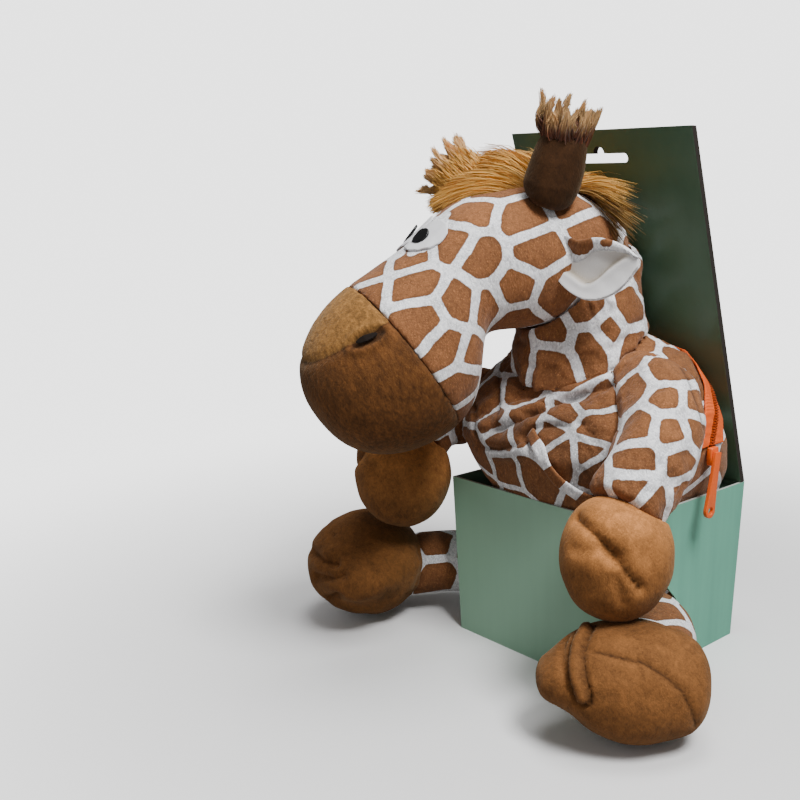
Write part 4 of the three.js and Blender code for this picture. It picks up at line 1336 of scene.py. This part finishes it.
def closed_sheet(name, grid, back, thickness):
    """A closed cloth from a grid of points: its front as given, its back pushed behind it."""
    rows, columns = grid.shape[:2]
    u = np.linspace(0, 1, rows)[:, None]
    v = np.linspace(0, 1, columns)[None, :]
    rim = (1 - 0.45 * np.abs(2 * v - 1) ** 8) * (1 - 0.45 * np.abs(2 * u - 1) ** 12)
    behind_it = grid + back * (thickness * rim)[..., None]
    points = np.concatenate([grid.reshape(-1, 3), behind_it.reshape(-1, 3)])
    size = rows * columns
    faces = []
    for i in range(rows - 1):
        for k in range(columns - 1):
            a = i * columns + k
            quad = [a, a + columns, a + columns + 1, a + 1]
            faces.append(quad)
            faces.append([size + c for c in quad[::-1]])
    edge = list(range(columns))
    edge += [(i + 1) * columns - 1 for i in range(1, rows)]
    edge += [(rows - 1) * columns + k for k in range(columns - 2, -1, -1)]
    edge += [i * columns for i in range(rows - 2, 0, -1)]
    for a, b in zip(edge, edge[1:] + edge[:1]):
        faces.append([a, b, size + b, size + a])
    mesh = mesh_from(name, points, faces)
    form = bmesh.new()
    form.from_mesh(mesh)
    bmesh.ops.recalc_face_normals(form, faces=form.faces)
    form.to_mesh(mesh)
    form.free()
    return mesh


def sewn_in(grid, tree):
    """Sinks the root of a sheet into the surface that it is sewn to."""
    share = np.linspace(EAR_START, 1.0, len(grid))
    weight = np.clip((0.10 - share) / 0.16, 0, 1) ** 1.5
    for i in np.nonzero(weight)[0]:
        for k in range(grid.shape[1]):
            place, normal, _, _ = tree.find_nearest(Vector(grid[i, k]))
            inside = np.array(place) - np.array(normal) * 0.0025
            grid[i, k] += (inside - grid[i, k]) * weight[i]
    return grid


def soft_sheet(name, grid, back, thickness):
    """A closed cloth with its rims rounded off."""
    draft = closed_sheet(name, grid, back, thickness)
    mesh = remeshed(draft, name, 0.0007)
    mesh = remeshed(mesh, name, 0, 9, np.ones(len(mesh.vertices)))
    bpy.data.meshes.remove(draft)
    mesh.name = name
    smooth_faces(mesh)
    return mesh


def carried(mesh, grid, values):
    """Each point's value, taken from the nearest place of a grid."""
    finder = finder_of(grid.reshape(-1, 3))
    flat = values.ravel()
    return np.array([flat[finder.find(p)[1]] for p in points_of(mesh)])


def front_patches(ear, front, places):
    """Lays brown patches of their own on the front of an ear's shell, and leaves its back spotted."""
    away = np.linalg.norm(points_of(ear)[:, None] - places[None], axis=2)
    size = np.array([r for _, _, r in EAR_PATCHES[: len(places)]])
    half = bpy.context.scene.giraffe_plush.net_width / MM / 2
    blob = (size * MM - away).max(axis=1) / MM + half
    ahead = normals_of(ear) @ front > -0.15
    change_edges(ear, lambda edges: np.where(ahead, blob, edges))


class GIRAFFE_OT_ears(bpy.types.Operator):
    """Make the cupped ears, spotted behind and lined with white felt"""

    bl_idname = "giraffe.ears"
    bl_label = "Ears"

    def execute(self, context):
        cloth = spotted_material("Spotted Plush")
        white = felt_material("White Felt", WHITE_FELT)
        head = tree_of(solid("head"))
        for hand, sign in (("left", 1), ("right", -1)):
            grid, front, near = ear_sheet(sign, LINING_LIFT, LINING_INSET, True)
            grid = sewn_in(grid, head)
            lining = soft_sheet(f"ear_lining_{hand}", grid, -front, LINING_THICKNESS)
            # The lining stores the fold's painted shade as its seam value.
            paint(lining, "seam", carried(lining, grid, near))
            piece = add_piece(f"ear_lining_{hand}", "felt", lining, white)
            grid, front, _ = ear_sheet(sign, SHELL_LIFT, 0.0, False)
            ear = soft_sheet(f"ear_{hand}", sewn_in(grid, head), -front, SHELL_THICKNESS)
            note_seams(ear, [])
            lay_spots(ear, [], 15, 0.026)
            if sign > 0:
                places = seen_points(tree_of(ear), [(x, y) for x, y, _ in EAR_PATCHES])
            else:
                places = across_head(places, SKULL)
            front_patches(ear, front, places)
            add_piece(f"ear_{hand}", "plush", ear, cloth)
        return {"FINISHED"}


# Fur

# How far the left horn's foot and the right horn's top lean over
LEAN = {"left": RIGHT * -0.0030, "right": RIGHT * -0.0028 + ABOVE * 0.0022}
# Places along a strand, the least and the greatest width of the strands, and the mane's spread to either
# side of the crown
STRAND_STEPS = 5
MANE_WIDTHS = (0.00045, 0.00085)
TUFT_WIDTHS = (0.0005, 0.0009)
MANE_SPREAD = 0.0052
MANE_HALF = 0.011
# Locks in a tuft, and each tuft's shares of the full reach and flare
LOCKS = 27
TUFT_SHARES = {"left": (0.94, 0.62), "right": (0.84, 1.25)}


def ribbons(name, course, width, own, rng, start=0.0):
    """Fur as flat tapering ribbons: each strand's places from its root to its tip."""
    count, steps = course.shape[:2]
    ways = unit(np.gradient(course, axis=1))
    side = unit(np.cross(ways, rng.normal(size=(count, 1, 3))))
    share = np.linspace(0, 1, steps)
    half = side * (np.asarray(width).reshape(-1, 1) * 0.5 * (1 - 0.75 * share**2))[..., None]
    points = np.stack([course - half, course + half], axis=2)
    base = np.arange(count)[:, None] * steps * 2
    faces = np.concatenate([base + 2 * k + np.array([0, 1, 3, 2]) for k in range(steps - 1)])
    mesh = mesh_from(name, points.reshape(-1, 3), faces.tolist())
    paint(mesh, "strand", np.repeat(own, steps * 2))
    paint(mesh, "along", np.tile(np.repeat(start + (1 - start) * share, 2), count))
    return mesh


# Room for the card's thickness behind its face
CARD_ROOM = 0.0045


def card_depth(z):
    """How far back the leaning card's face is at a height."""
    low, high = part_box("carton_back_card")
    face = high.y - CARD_ROOM
    return face - (z - low.z) * (face - low.y) / (high.z - low.z)


# The mane from brow to nape: the root's angle back from straight ahead, then the way that its strands
# are combed (forwards, to the giraffe's left and up), their length in millimetres and their lift
MANE_ROWS = [
    (38, 0.62, -0.72, -0.26, 38, 0.24),
    (54, 0.34, -0.95, -0.05, 54, 0.36),
    (68, 0.14, -1.00, 0.08, 66, 0.48),
    (82, 0.00, -0.98, 0.12, 58, 0.46),
    (92, -0.25, 0.60, -0.10, 34, 0.12),
    (100, -0.28, 0.94, -0.24, 54, 0.05),
    (110, -0.14, 0.80, -0.62, 42, 0.03),
    (122, 0.04, 0.30, -1.00, 28, 0.03),
    (140, 0.10, 0.10, -1.00, 24, 0.03),
    (168, 0.00, 0.20, -1.00, 22, 0.03),
]


def combed_mane(count, trees, rng):
    """Long fur sown along the crown, combed over the brow on one side and down the neck on the other, with
    painted shade on the strands towards the nape.
    """
    _, forward, side = (np.array(v) for v in head_frame())
    up = np.array((0, 0, 1.0))
    rows = np.array(MANE_ROWS, dtype=float)
    hub = np.array(SKULL) + forward * 0.012
    angle = rows[0, 0] + (rows[-1, 0] - rows[0, 0]) * rng.uniform(0, 1, count) ** 1.9
    spread = rng.normal(0, MANE_SPREAD, count).clip(-MANE_HALF, MANE_HALF)
    roots = np.zeros((count, 3))
    normals = np.zeros((count, 3))
    for i in range(count):
        a = math.radians(angle[i])
        way = forward * math.cos(a) + up * math.sin(a)
        start = hub + side * spread[i] + way * 0.12
        best = None
        for tree in trees:
            hit = tree.ray_cast(Vector(start), Vector(-way), 0.12)
            if hit[0] is not None and (best is None or hit[3] < best[3]):
                best = hit
        roots[i] = np.array(best[0]) - way * 0.0008 if best else hub + way * 0.04
        normals[i] = way
    comb = np.stack([np.interp(angle, rows[:, 0], rows[:, c]) for c in (1, 2, 3)], axis=1)
    comb = unit(comb[:, :1] * forward + comb[:, 1:2] * side + comb[:, 2:] * up)
    lock = np.stack([waves(roots, 0.011, 90 + k, 1) for k in range(3)], axis=1)
    comb = unit(comb + 0.11 * lock + rng.normal(0, 0.055, (count, 3)))
    length = np.interp(angle, rows[:, 0], rows[:, 4]) * MM * rng.uniform(0.72, 1.08, count)
    lift = np.interp(angle, rows[:, 0], rows[:, 5]) * rng.uniform(0.7, 1.25, count)
    first = unit(comb * 0.55 + normals * lift[:, None] * 1.6)
    steps = np.linspace(0, 1, STRAND_STEPS)
    course = []
    for t in steps:
        place = roots + first * (length * (t - 0.62 * t * t))[:, None] + comb * (length * 0.72 * t * t)[:, None]
        place[:, 2] -= 0.0045 * t * t
        place[:, 1] = np.minimum(place[:, 1], card_depth(place[:, 2]) - 0.0012 - 0.002 * (1 - t))
        course.append(place)
    course = np.stack(course, axis=1)
    own = 0.42 + rng.uniform(0, 1, count) * 0.38 + 0.2 * (lock[:, 0] * 0.5 + 0.5)
    # Painted shade: the strands towards the nape, lying in shade between the head and the card, are darkened.
    own *= np.interp(angle, [88, 95, 101, 108, 116], [1.0, 0.62, 0.34, 0.12, 0.0])
    kept = rng.uniform(0, 1, count) < np.interp(angle, [88, 95, 101, 108, 118], [1.0, 0.30, 0.18, 0.16, 0.14])
    return course[kept], own[kept]


def tuft_course(hand, count, rng):
    """A horn's tuft: a ring of thick locks of fringe round a dark middle."""
    stem = np.array(middle_of(f"horn_{hand}"))
    cloud = points_of(solid(f"horn_tuft_{hand}"))
    axis = unit(cloud.mean(axis=0) - stem)
    foot = stem + axis * ((cloud - stem) @ axis).min()
    _, forward, side = (np.array(v) for v in head_frame())
    first = unit(np.cross(axis, np.cross(side + forward * 0.6, axis)))
    second = np.cross(axis, first)
    lock = rng.integers(0, LOCKS, count)
    inner = lock % 3 == 2
    angle = 2 * math.pi * (lock + 0.5 * np.sin(lock * 2.4)) / LOCKS
    face = np.cos(angle)
    width = rng.normal(0, 0.11, count)
    ring = np.where(inner, 0.0060, 0.0118) * (1 + 0.10 * rng.normal(size=count))
    out = np.cos(angle + width)[:, None] * first + np.sin(angle + width)[:, None] * second
    tip_out = np.cos(angle)[:, None] * first + np.sin(angle)[:, None] * second
    roots = foot + out * ring[:, None] + axis * rng.uniform(-0.0065, 0.002, count)[:, None]
    reach = (0.0175 + 0.0040 * np.sin(lock * 1.7 + (hand == "left"))) * np.where(inner, 0.75, 1.0)
    reach = reach * (1 - 0.38 * face.clip(0, 1)) * rng.uniform(0.72, 1.05, count)
    flare = np.where(inner, 0.30, 0.55 + 0.28 * np.sin(lock * 3.1))
    if hand == "right":
        foot = foot + np.array(LEAN[hand])
        roots = roots + np.array(LEAN[hand])
    reach = reach * TUFT_SHARES[hand][0]
    flare = flare * TUFT_SHARES[hand][1]
    spread = rng.normal(0, 0.0008, (count, 3))
    tips = foot + tip_out * (0.0110 + flare * reach)[:, None] + axis * reach[:, None] + spread
    steps = np.linspace(0, 1, STRAND_STEPS)
    bent = second * 0.0022 * np.sin(lock * 4.1)[:, None]
    course = []
    for t in steps:
        bow = (out * 0.0020 + bent) * math.sin(math.pi * t)
        course.append(roots * (1 - t) + tips * t + bow)
    own = (rng.uniform(0, 1, count) * 0.6 + 0.4 * (0.5 + 0.5 * np.sin(lock * 5.3))) * np.where(inner, 0.35, 1.0)
    own = 0.2 + 0.8 * own if hand == "left" else 0.55 + 0.45 * own
    return np.stack(course, axis=1), own


def stem_course(count, rng):
    """Fur combed up the right horn's stem to its tuft."""
    source = solid("horn_right")
    co = points_of(source)
    middle = co.mean(axis=0)
    axis = unit(points_of(solid("horn_tuft_right")).mean(axis=0) - middle)
    along = (co - middle) @ axis
    first = unit(np.cross(axis, (0.3, 0.1, 1.0)))
    second = np.cross(axis, first)
    tree = tree_of(source)
    course = []
    for _ in range(count):
        share = rng.uniform(0.12, 0.82)
        angle = rng.uniform(0, 2 * math.pi)
        out = math.cos(angle) * first + math.sin(angle) * second
        spine = middle + axis * (along.min() + share * (along.max() - along.min()))
        hit = tree.ray_cast(Vector(spine + out * 0.05), Vector(-out), 0.05)[0]
        if hit is None:
            continue
        root = np.array(hit) + share**1.5 * np.array(LEAN["right"]) - out * 0.0006
        way = unit(axis + out * 0.16 + rng.normal(0, 0.10, 3))
        length = rng.uniform(0.009, 0.015)
        steps = np.linspace(0, 1, STRAND_STEPS)[:, None]
        course.append(root + way * length * steps + out * 0.0016 * np.sin(math.pi * steps))
    return np.array(course)


class GIRAFFE_OT_fur(bpy.types.Operator):
    """Make the combed mane and the fringed tufts on the horns from many strands"""

    bl_idname = "giraffe.fur"
    bl_label = "Fur"

    def execute(self, context):
        settings = context.scene.giraffe_fur
        rng = np.random.default_rng(SEED)
        fur = fur_material("Golden Fur", settings.root, settings.gold, -0.15, 0.35)
        fringe = fur_material("Horn Fringe", settings.fringe_root, settings.fringe, 0.2, 0.85)
        trees = [tree_of(solid(n)) for n in ("head", "neck")]
        course, own = combed_mane(settings.mane_strands, trees, rng)
        stem = stem_course(settings.mane_strands // 6, rng)
        course = np.concatenate([course, stem])
        own = np.concatenate([own, rng.uniform(0.45, 0.95, len(stem))])
        width = rng.uniform(*MANE_WIDTHS, len(own))
        mesh = ribbons("mane", course, width, own, rng)
        add_piece("mane", "fur", mesh, fur)
        for hand in ("left", "right"):
            course, own = tuft_course(hand, settings.tuft_strands, rng)
            width = rng.uniform(*TUFT_WIDTHS, len(own))
            mesh = ribbons(f"horn_tuft_{hand}", course, width, own, rng, 0.45 if hand == "right" else 0.0)
            add_piece(f"horn_tuft_{hand}", "fur", mesh, fringe)
        return {"FINISHED"}


# How far the left horn's foot is drawn up
FOOT_RAISED = 0.0055


def tapered(mesh, hand):
    """Draws a horn in at its foot and its top."""
    co = points_of(mesh)
    middle = co.mean(axis=0)
    axis = unit(points_of(solid(f"horn_tuft_{hand}")).mean(axis=0) - middle)
    along = (co - middle) @ axis
    share = (along - along.min()) / (along.max() - along.min())
    keep = np.interp(share, [0, 0.12, 0.35, 0.65, 1.0], [0.74, 0.87, 0.99, 0.98, 0.86])
    spine = middle + along[:, None] * axis
    bent = (1 - share if hand == "left" else share) ** 1.5
    moved = bent[:, None] * np.array(LEAN[hand])
    if hand == "left":
        moved += (FOOT_RAISED * np.clip(1 - share / 0.4, 0, 1))[:, None] * axis
    move_points(mesh, spine + (co - spine) * keep[:, None] + moved)


class GIRAFFE_OT_horns(bpy.types.Operator):
    """Make the two stuffed horns"""

    bl_idname = "giraffe.horns"
    bl_label = "Horns"

    def execute(self, context):
        # The horns' plush is a darker copy of the paws': painted shade.
        brown = plain_material("Shaded Horn Plush", context.scene.giraffe_plush.horn)
        for hand in ("left", "right"):
            horn = stuffed(f"horn_{hand}", ["head"], voxel=0.0015, relax=70, hold=0.003)
            tapered(horn, hand)
            lumpy(horn, 0.0008, 0.03, 41)
            note_seams(horn, [])
            add_piece(f"horn_{hand}", "plush", horn, brown)
        return {"FINISHED"}


# Limbs

# Bulges are a place, a height and a radius in millimetres
ARM_PATCHES = [
    (668, 398), (631, 391), (669, 370), (623, 365), (638, 426), (674, 430), (636, 463), (683, 463),
    (634, 486), (681, 494), (696, 405), (697, 426), (687, 522), (610, 372), (655, 505),
]
ARM_SEAM = [(672, 352), (688, 378), (699, 405), (705, 435), (707, 465), (704, 495), (694, 520)]
HAND_DART = [(566, 508), (571, 514), (595, 535), (615, 557), (629, 576), (641, 590)]
HAND_BULGES = [((613, 556), -3.0, 5.5), ((622, 535), 2.6, 14), ((583, 560), 2.2, 12), ((600, 512), 1.4, 12)]
HAND_CREASES = [[(600, 548), (585, 552), (573, 549)], [(617, 580), (621, 592), (623, 604)]]
SOLE_SEAM = [(593, 651), (615, 656), (643, 662), (665, 675), (683, 691), (692, 710), (698, 733)]
TOE_TUCK = [(586, 627), (577, 644), (575, 660), (577, 680), (582, 698)]
TOE_CREASES = [[(568, 631), (562, 645), (562, 660), (567, 688)]]
FAR_TOES = [
    [(311, 552), (320, 560), (334, 563)],
    [(315, 577), (330, 579), (342, 575)],
    [(328, 600), (338, 596)],
]


def rounded(mesh, amount):
    """Draws a stuffed piece's corners in towards a rounder form."""
    co = points_of(mesh)
    middle = (co.max(axis=0) + co.min(axis=0)) / 2
    _, axes = np.linalg.eigh(np.cov((co - middle).T))
    local = (co - middle) @ axes
    half = np.abs(local).max(axis=0)
    reach = np.linalg.norm(local / half, axis=1)
    move_points(mesh, middle + (local * (np.maximum(reach, 0.8) ** -amount)[:, None]) @ axes.T)


def twin_line(lines, node, tree, pixels):
    """A line that the camera sees on a left piece and that lines keeps, or its like on the right piece."""
    stem, hand = node.rsplit("_", 1)
    key = (stem, *pixels)
    if hand == "left":
        lines[key] = seen(tree, pixels)
        return lines[key]
    return mirrored(lines[key], f"{stem}_left", node)


class GIRAFFE_OT_limbs(bpy.types.Operator):
    """Make the arms, hands, legs and feet"""

    bl_idname = "giraffe.limbs"
    bl_label = "Limbs"

    def execute(self, context):
        cloth = spotted_material("Spotted Plush")
        brown = plain_material("Brown Plush", context.scene.giraffe_plush.paw)
        lines = {}
        for hand in ("left", "right"):
            near = hand == "left"
            arm = stuffed(f"arm_{hand}", [f"hand_{hand}", "belly", "neck"], slack=0.05, cap=0.0025)
            tree = tree_of(arm)
            marks = [draw_in(arm, twin_line(lines, f"arm_{hand}", tree, ARM_SEAM), 0.0011, 0.0022)]
            low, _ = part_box(f"arm_{hand}")
            wrist = middle_of(f"arm_{hand}")
            marks.append(puckers(arm, (wrist.x, wrist.y, low.z + 0.006), (0, 0.4, 1), 10, 0.0013, 0.014, 7))
            lumpy(arm, 0.0013, 0.045, 51)
            # The seam's and puckers' marks are painted shade.
            note_seams(arm, marks)
            lay_spots(arm, seen_points(tree, ARM_PATCHES) if near else [], 16)
            add_piece(f"arm_{hand}", "plush", arm, cloth)

            loose = {"relax": 130, "hold": 0.002, "least": 0.45, "slack": 0.03, "cap": 0.0015}
            paw = stuffed(f"hand_{hand}", [f"arm_{hand}"], **loose)
            rounded(paw, 0.85)
            tree = tree_of(paw)
            node = f"hand_{hand}"
            marks = [draw_in(paw, twin_line(lines, node, tree, HAND_DART), 0.0028, 0.0034, 0.0044)]
            for place, height, radius in HAND_BULGES:
                spot = twin_line(lines, node, tree, [place, place])[0]
                bulge(paw, spot, height * MM, radius * MM)
            for crease in HAND_CREASES:
                marks.append(draw_in(paw, twin_line(lines, node, tree, crease), 0.0018, 0.004) * 0.3)
            lumpy(paw, 0.0009, 0.035, 52)
            # The dart's and creases' marks are painted shade.
            note_seams(paw, marks)
            # Painted light: the hand's cloth is stored lighter where it faces up, as if lit from above; the
            # value is named nap.
            paint(paw, "nap", np.clip(normals_of(paw)[:, 2] * 0.75 + 0.30, 0, 1))
            add_piece(f"hand_{hand}", "plush", paw, brown)

            leg = stuffed(f"leg_{hand}", [f"foot_{hand}"])
            note_seams(leg, [])
            lay_spots(leg, [], 17)
            add_piece(f"leg_{hand}", "plush", leg, cloth)

            foot = stuffed(f"foot_{hand}", [f"leg_{hand}"], slack=0.03, cap=0.0015)
            tree = tree_of(foot)
            sole = twin_line(lines, f"foot_{hand}", tree, SOLE_SEAM)
            marks = [draw_in(foot, sole, 0.0014, 0.0022, 0.0036)]
            if near:
                marks.append(ridge(foot, seen(tree, TOE_TUCK), 0.0030, 0.0040))
                marks += [draw_in(foot, seen(tree, crease), 0.0025, 0.003) * 0.4 for crease in TOE_CREASES]
            else:
                marks += [draw_in(foot, behind(seen(tree, toe, 3.0)), 0.0050, 0.0036) * 0.5 for toe in FAR_TOES]
            lumpy(foot, 0.0009, 0.045, 53)
            # The sole seam's, the tuck's and the toes' marks are painted shade.
            note_seams(foot, marks)
            add_piece(f"foot_{hand}", "plush", foot, brown)
        return {"FINISHED"}


# Stage

# Brightness of the backdrop as the camera sees it, and of the light that comes from all round
BACKDROP = 2.8
AMBIENT = 0.15
FLOOR_HALF = 6.0
FILM = 36.0
AIM = (-0.02, -0.02, 0.17)
# Each light's place, size and energy
LIGHTS = {
    "key": ((1.10, -0.30, 1.75), 0.6, 46),
    "fill": ((0.55, -1.60, 0.9), 1.2, 2.5),
    "top": ((0.15, -0.05, 1.7), 0.7, 12),
}


def turned_to(obj, place, way):
    """Puts an object at a place, looking along a way."""
    obj.location = place
    obj.rotation_mode = "QUATERNION"
    obj.rotation_quaternion = way.to_track_quat("-Z", "Y")


class GIRAFFE_OT_stage(bpy.types.Operator):
    """Set up the pale floor, the soft light and the camera"""

    bl_idname = "giraffe.stage"
    bl_label = "Stage"

    def execute(self, context):
        material, sheet, shader = new_material("Pale Floor")
        cloud = sheet.noise(3, 2.0, 0.5)
        pale = sheet.mix(sheet.math("MULTIPLY", cloud, 0.3), (0.96, 0.96, 0.96), (0.93, 0.93, 0.93))
        direct = sheet.add("ShaderNodeLightPath").outputs["Is Camera Ray"]
        place = sheet.add("ShaderNodeTexCoord").outputs["Object"]
        length = sheet.add("ShaderNodeVectorMath", {0: place}, operation="LENGTH").outputs["Value"]
        away = sheet.math("MULTIPLY", sheet.ramp(length, 0.15, 0.75), direct)
        surface = {
            "Base Color": sheet.mix(away, sheet.mix(direct, (0.30, 0.29, 0.28), pale), (0, 0, 0)),
            "Emission Color": (1, 1, 1),
            "Emission Strength": sheet.math("MULTIPLY", away, BACKDROP),
            "Roughness": 0.9,
        }
        sheet.set(shader, surface)
        corners = [(x * FLOOR_HALF, y * FLOOR_HALF, 0) for x, y in ((-1, -1), (1, -1), (1, 1), (-1, 1))]
        floor = mesh_from("floor", corners, [(0, 1, 2, 3)])
        floor.materials.append(material)
        placed("floor", floor)

        world = bpy.data.worlds.new("Studio")
        context.scene.world = world
        world.use_nodes = True
        sheet = Sheet(world.node_tree)
        direct = sheet.add("ShaderNodeLightPath").outputs["Is Camera Ray"]
        strength = sheet.times_plus(direct, BACKDROP - AMBIENT, AMBIENT)
        sheet.set(world.node_tree.nodes["Background"], {"Color": (1, 1, 1), "Strength": strength})
        for name, (spot, size, energy) in LIGHTS.items():
            data = bpy.data.lights.new(name, "AREA")
            data.shape = "SQUARE"
            data.size = size
            data.energy = energy
            turned_to(placed(name, data), spot, Vector(AIM) - Vector(spot))

        data = bpy.data.cameras.new("camera")
        data.sensor_width = FILM
        data.lens = FILM * FOCAL / IMAGE
        data.shift_x = -(CENTRE[0] - IMAGE / 2) / IMAGE
        data.shift_y = (CENTRE[1] - IMAGE / 2) / IMAGE
        data.clip_start = 0.01
        data.clip_end = 20
        camera = placed("camera", data)
        turned_to(camera, EYE, -BACK)
        context.scene.camera = camera
        return {"FINISHED"}


class GIRAFFE_PT_panel(bpy.types.Panel):
    """The giraffe's pieces in the sidebar"""

    bl_idname = "GIRAFFE_PT_panel"
    bl_label = "Giraffe Backpack"
    bl_space_type = "VIEW_3D"
    bl_region_type = "UI"
    bl_category = "Giraffe"

    def draw(self, context):
        layout = self.layout
        for operator in OPERATORS:
            layout.operator(operator.bl_idname)
        for name, group in SETTINGS.items():
            box = layout.box()
            for label in group.__annotations__:
                box.prop(getattr(context.scene, name), label)


SETTINGS = {
    "giraffe_plush": PlushSettings,
    "giraffe_fur": FurSettings,
    "giraffe_carton": CartonSettings,
    "giraffe_zip": ZipSettings,
}
OPERATORS = (
    GIRAFFE_OT_carton,
    GIRAFFE_OT_trunk,
    GIRAFFE_OT_zip,
    GIRAFFE_OT_head,
    GIRAFFE_OT_ears,
    GIRAFFE_OT_horns,
    GIRAFFE_OT_fur,
    GIRAFFE_OT_limbs,
    GIRAFFE_OT_stage,
)


def register():
    """Registers the settings, the operators and the panel."""
    for group in SETTINGS.values():
        bpy.utils.register_class(group)
    for name, group in SETTINGS.items():
        setattr(bpy.types.Scene, name, PointerProperty(type=group))
    for operator in OPERATORS:
        bpy.utils.register_class(operator)
    bpy.utils.register_class(GIRAFFE_PT_panel)


def unregister():
    """Takes them away again."""
    bpy.utils.unregister_class(GIRAFFE_PT_panel)
    for operator in reversed(OPERATORS):
        bpy.utils.unregister_class(operator)
    for name in SETTINGS:
        delattr(bpy.types.Scene, name)
    for group in SETTINGS.values():
        bpy.utils.unregister_class(group)


def main():
    """Makes every piece."""
    register()
    for operator in OPERATORS:
        family, name = operator.bl_idname.split(".")
        getattr(getattr(bpy.ops, family), name)()


if __name__ == "__main__":
    main()
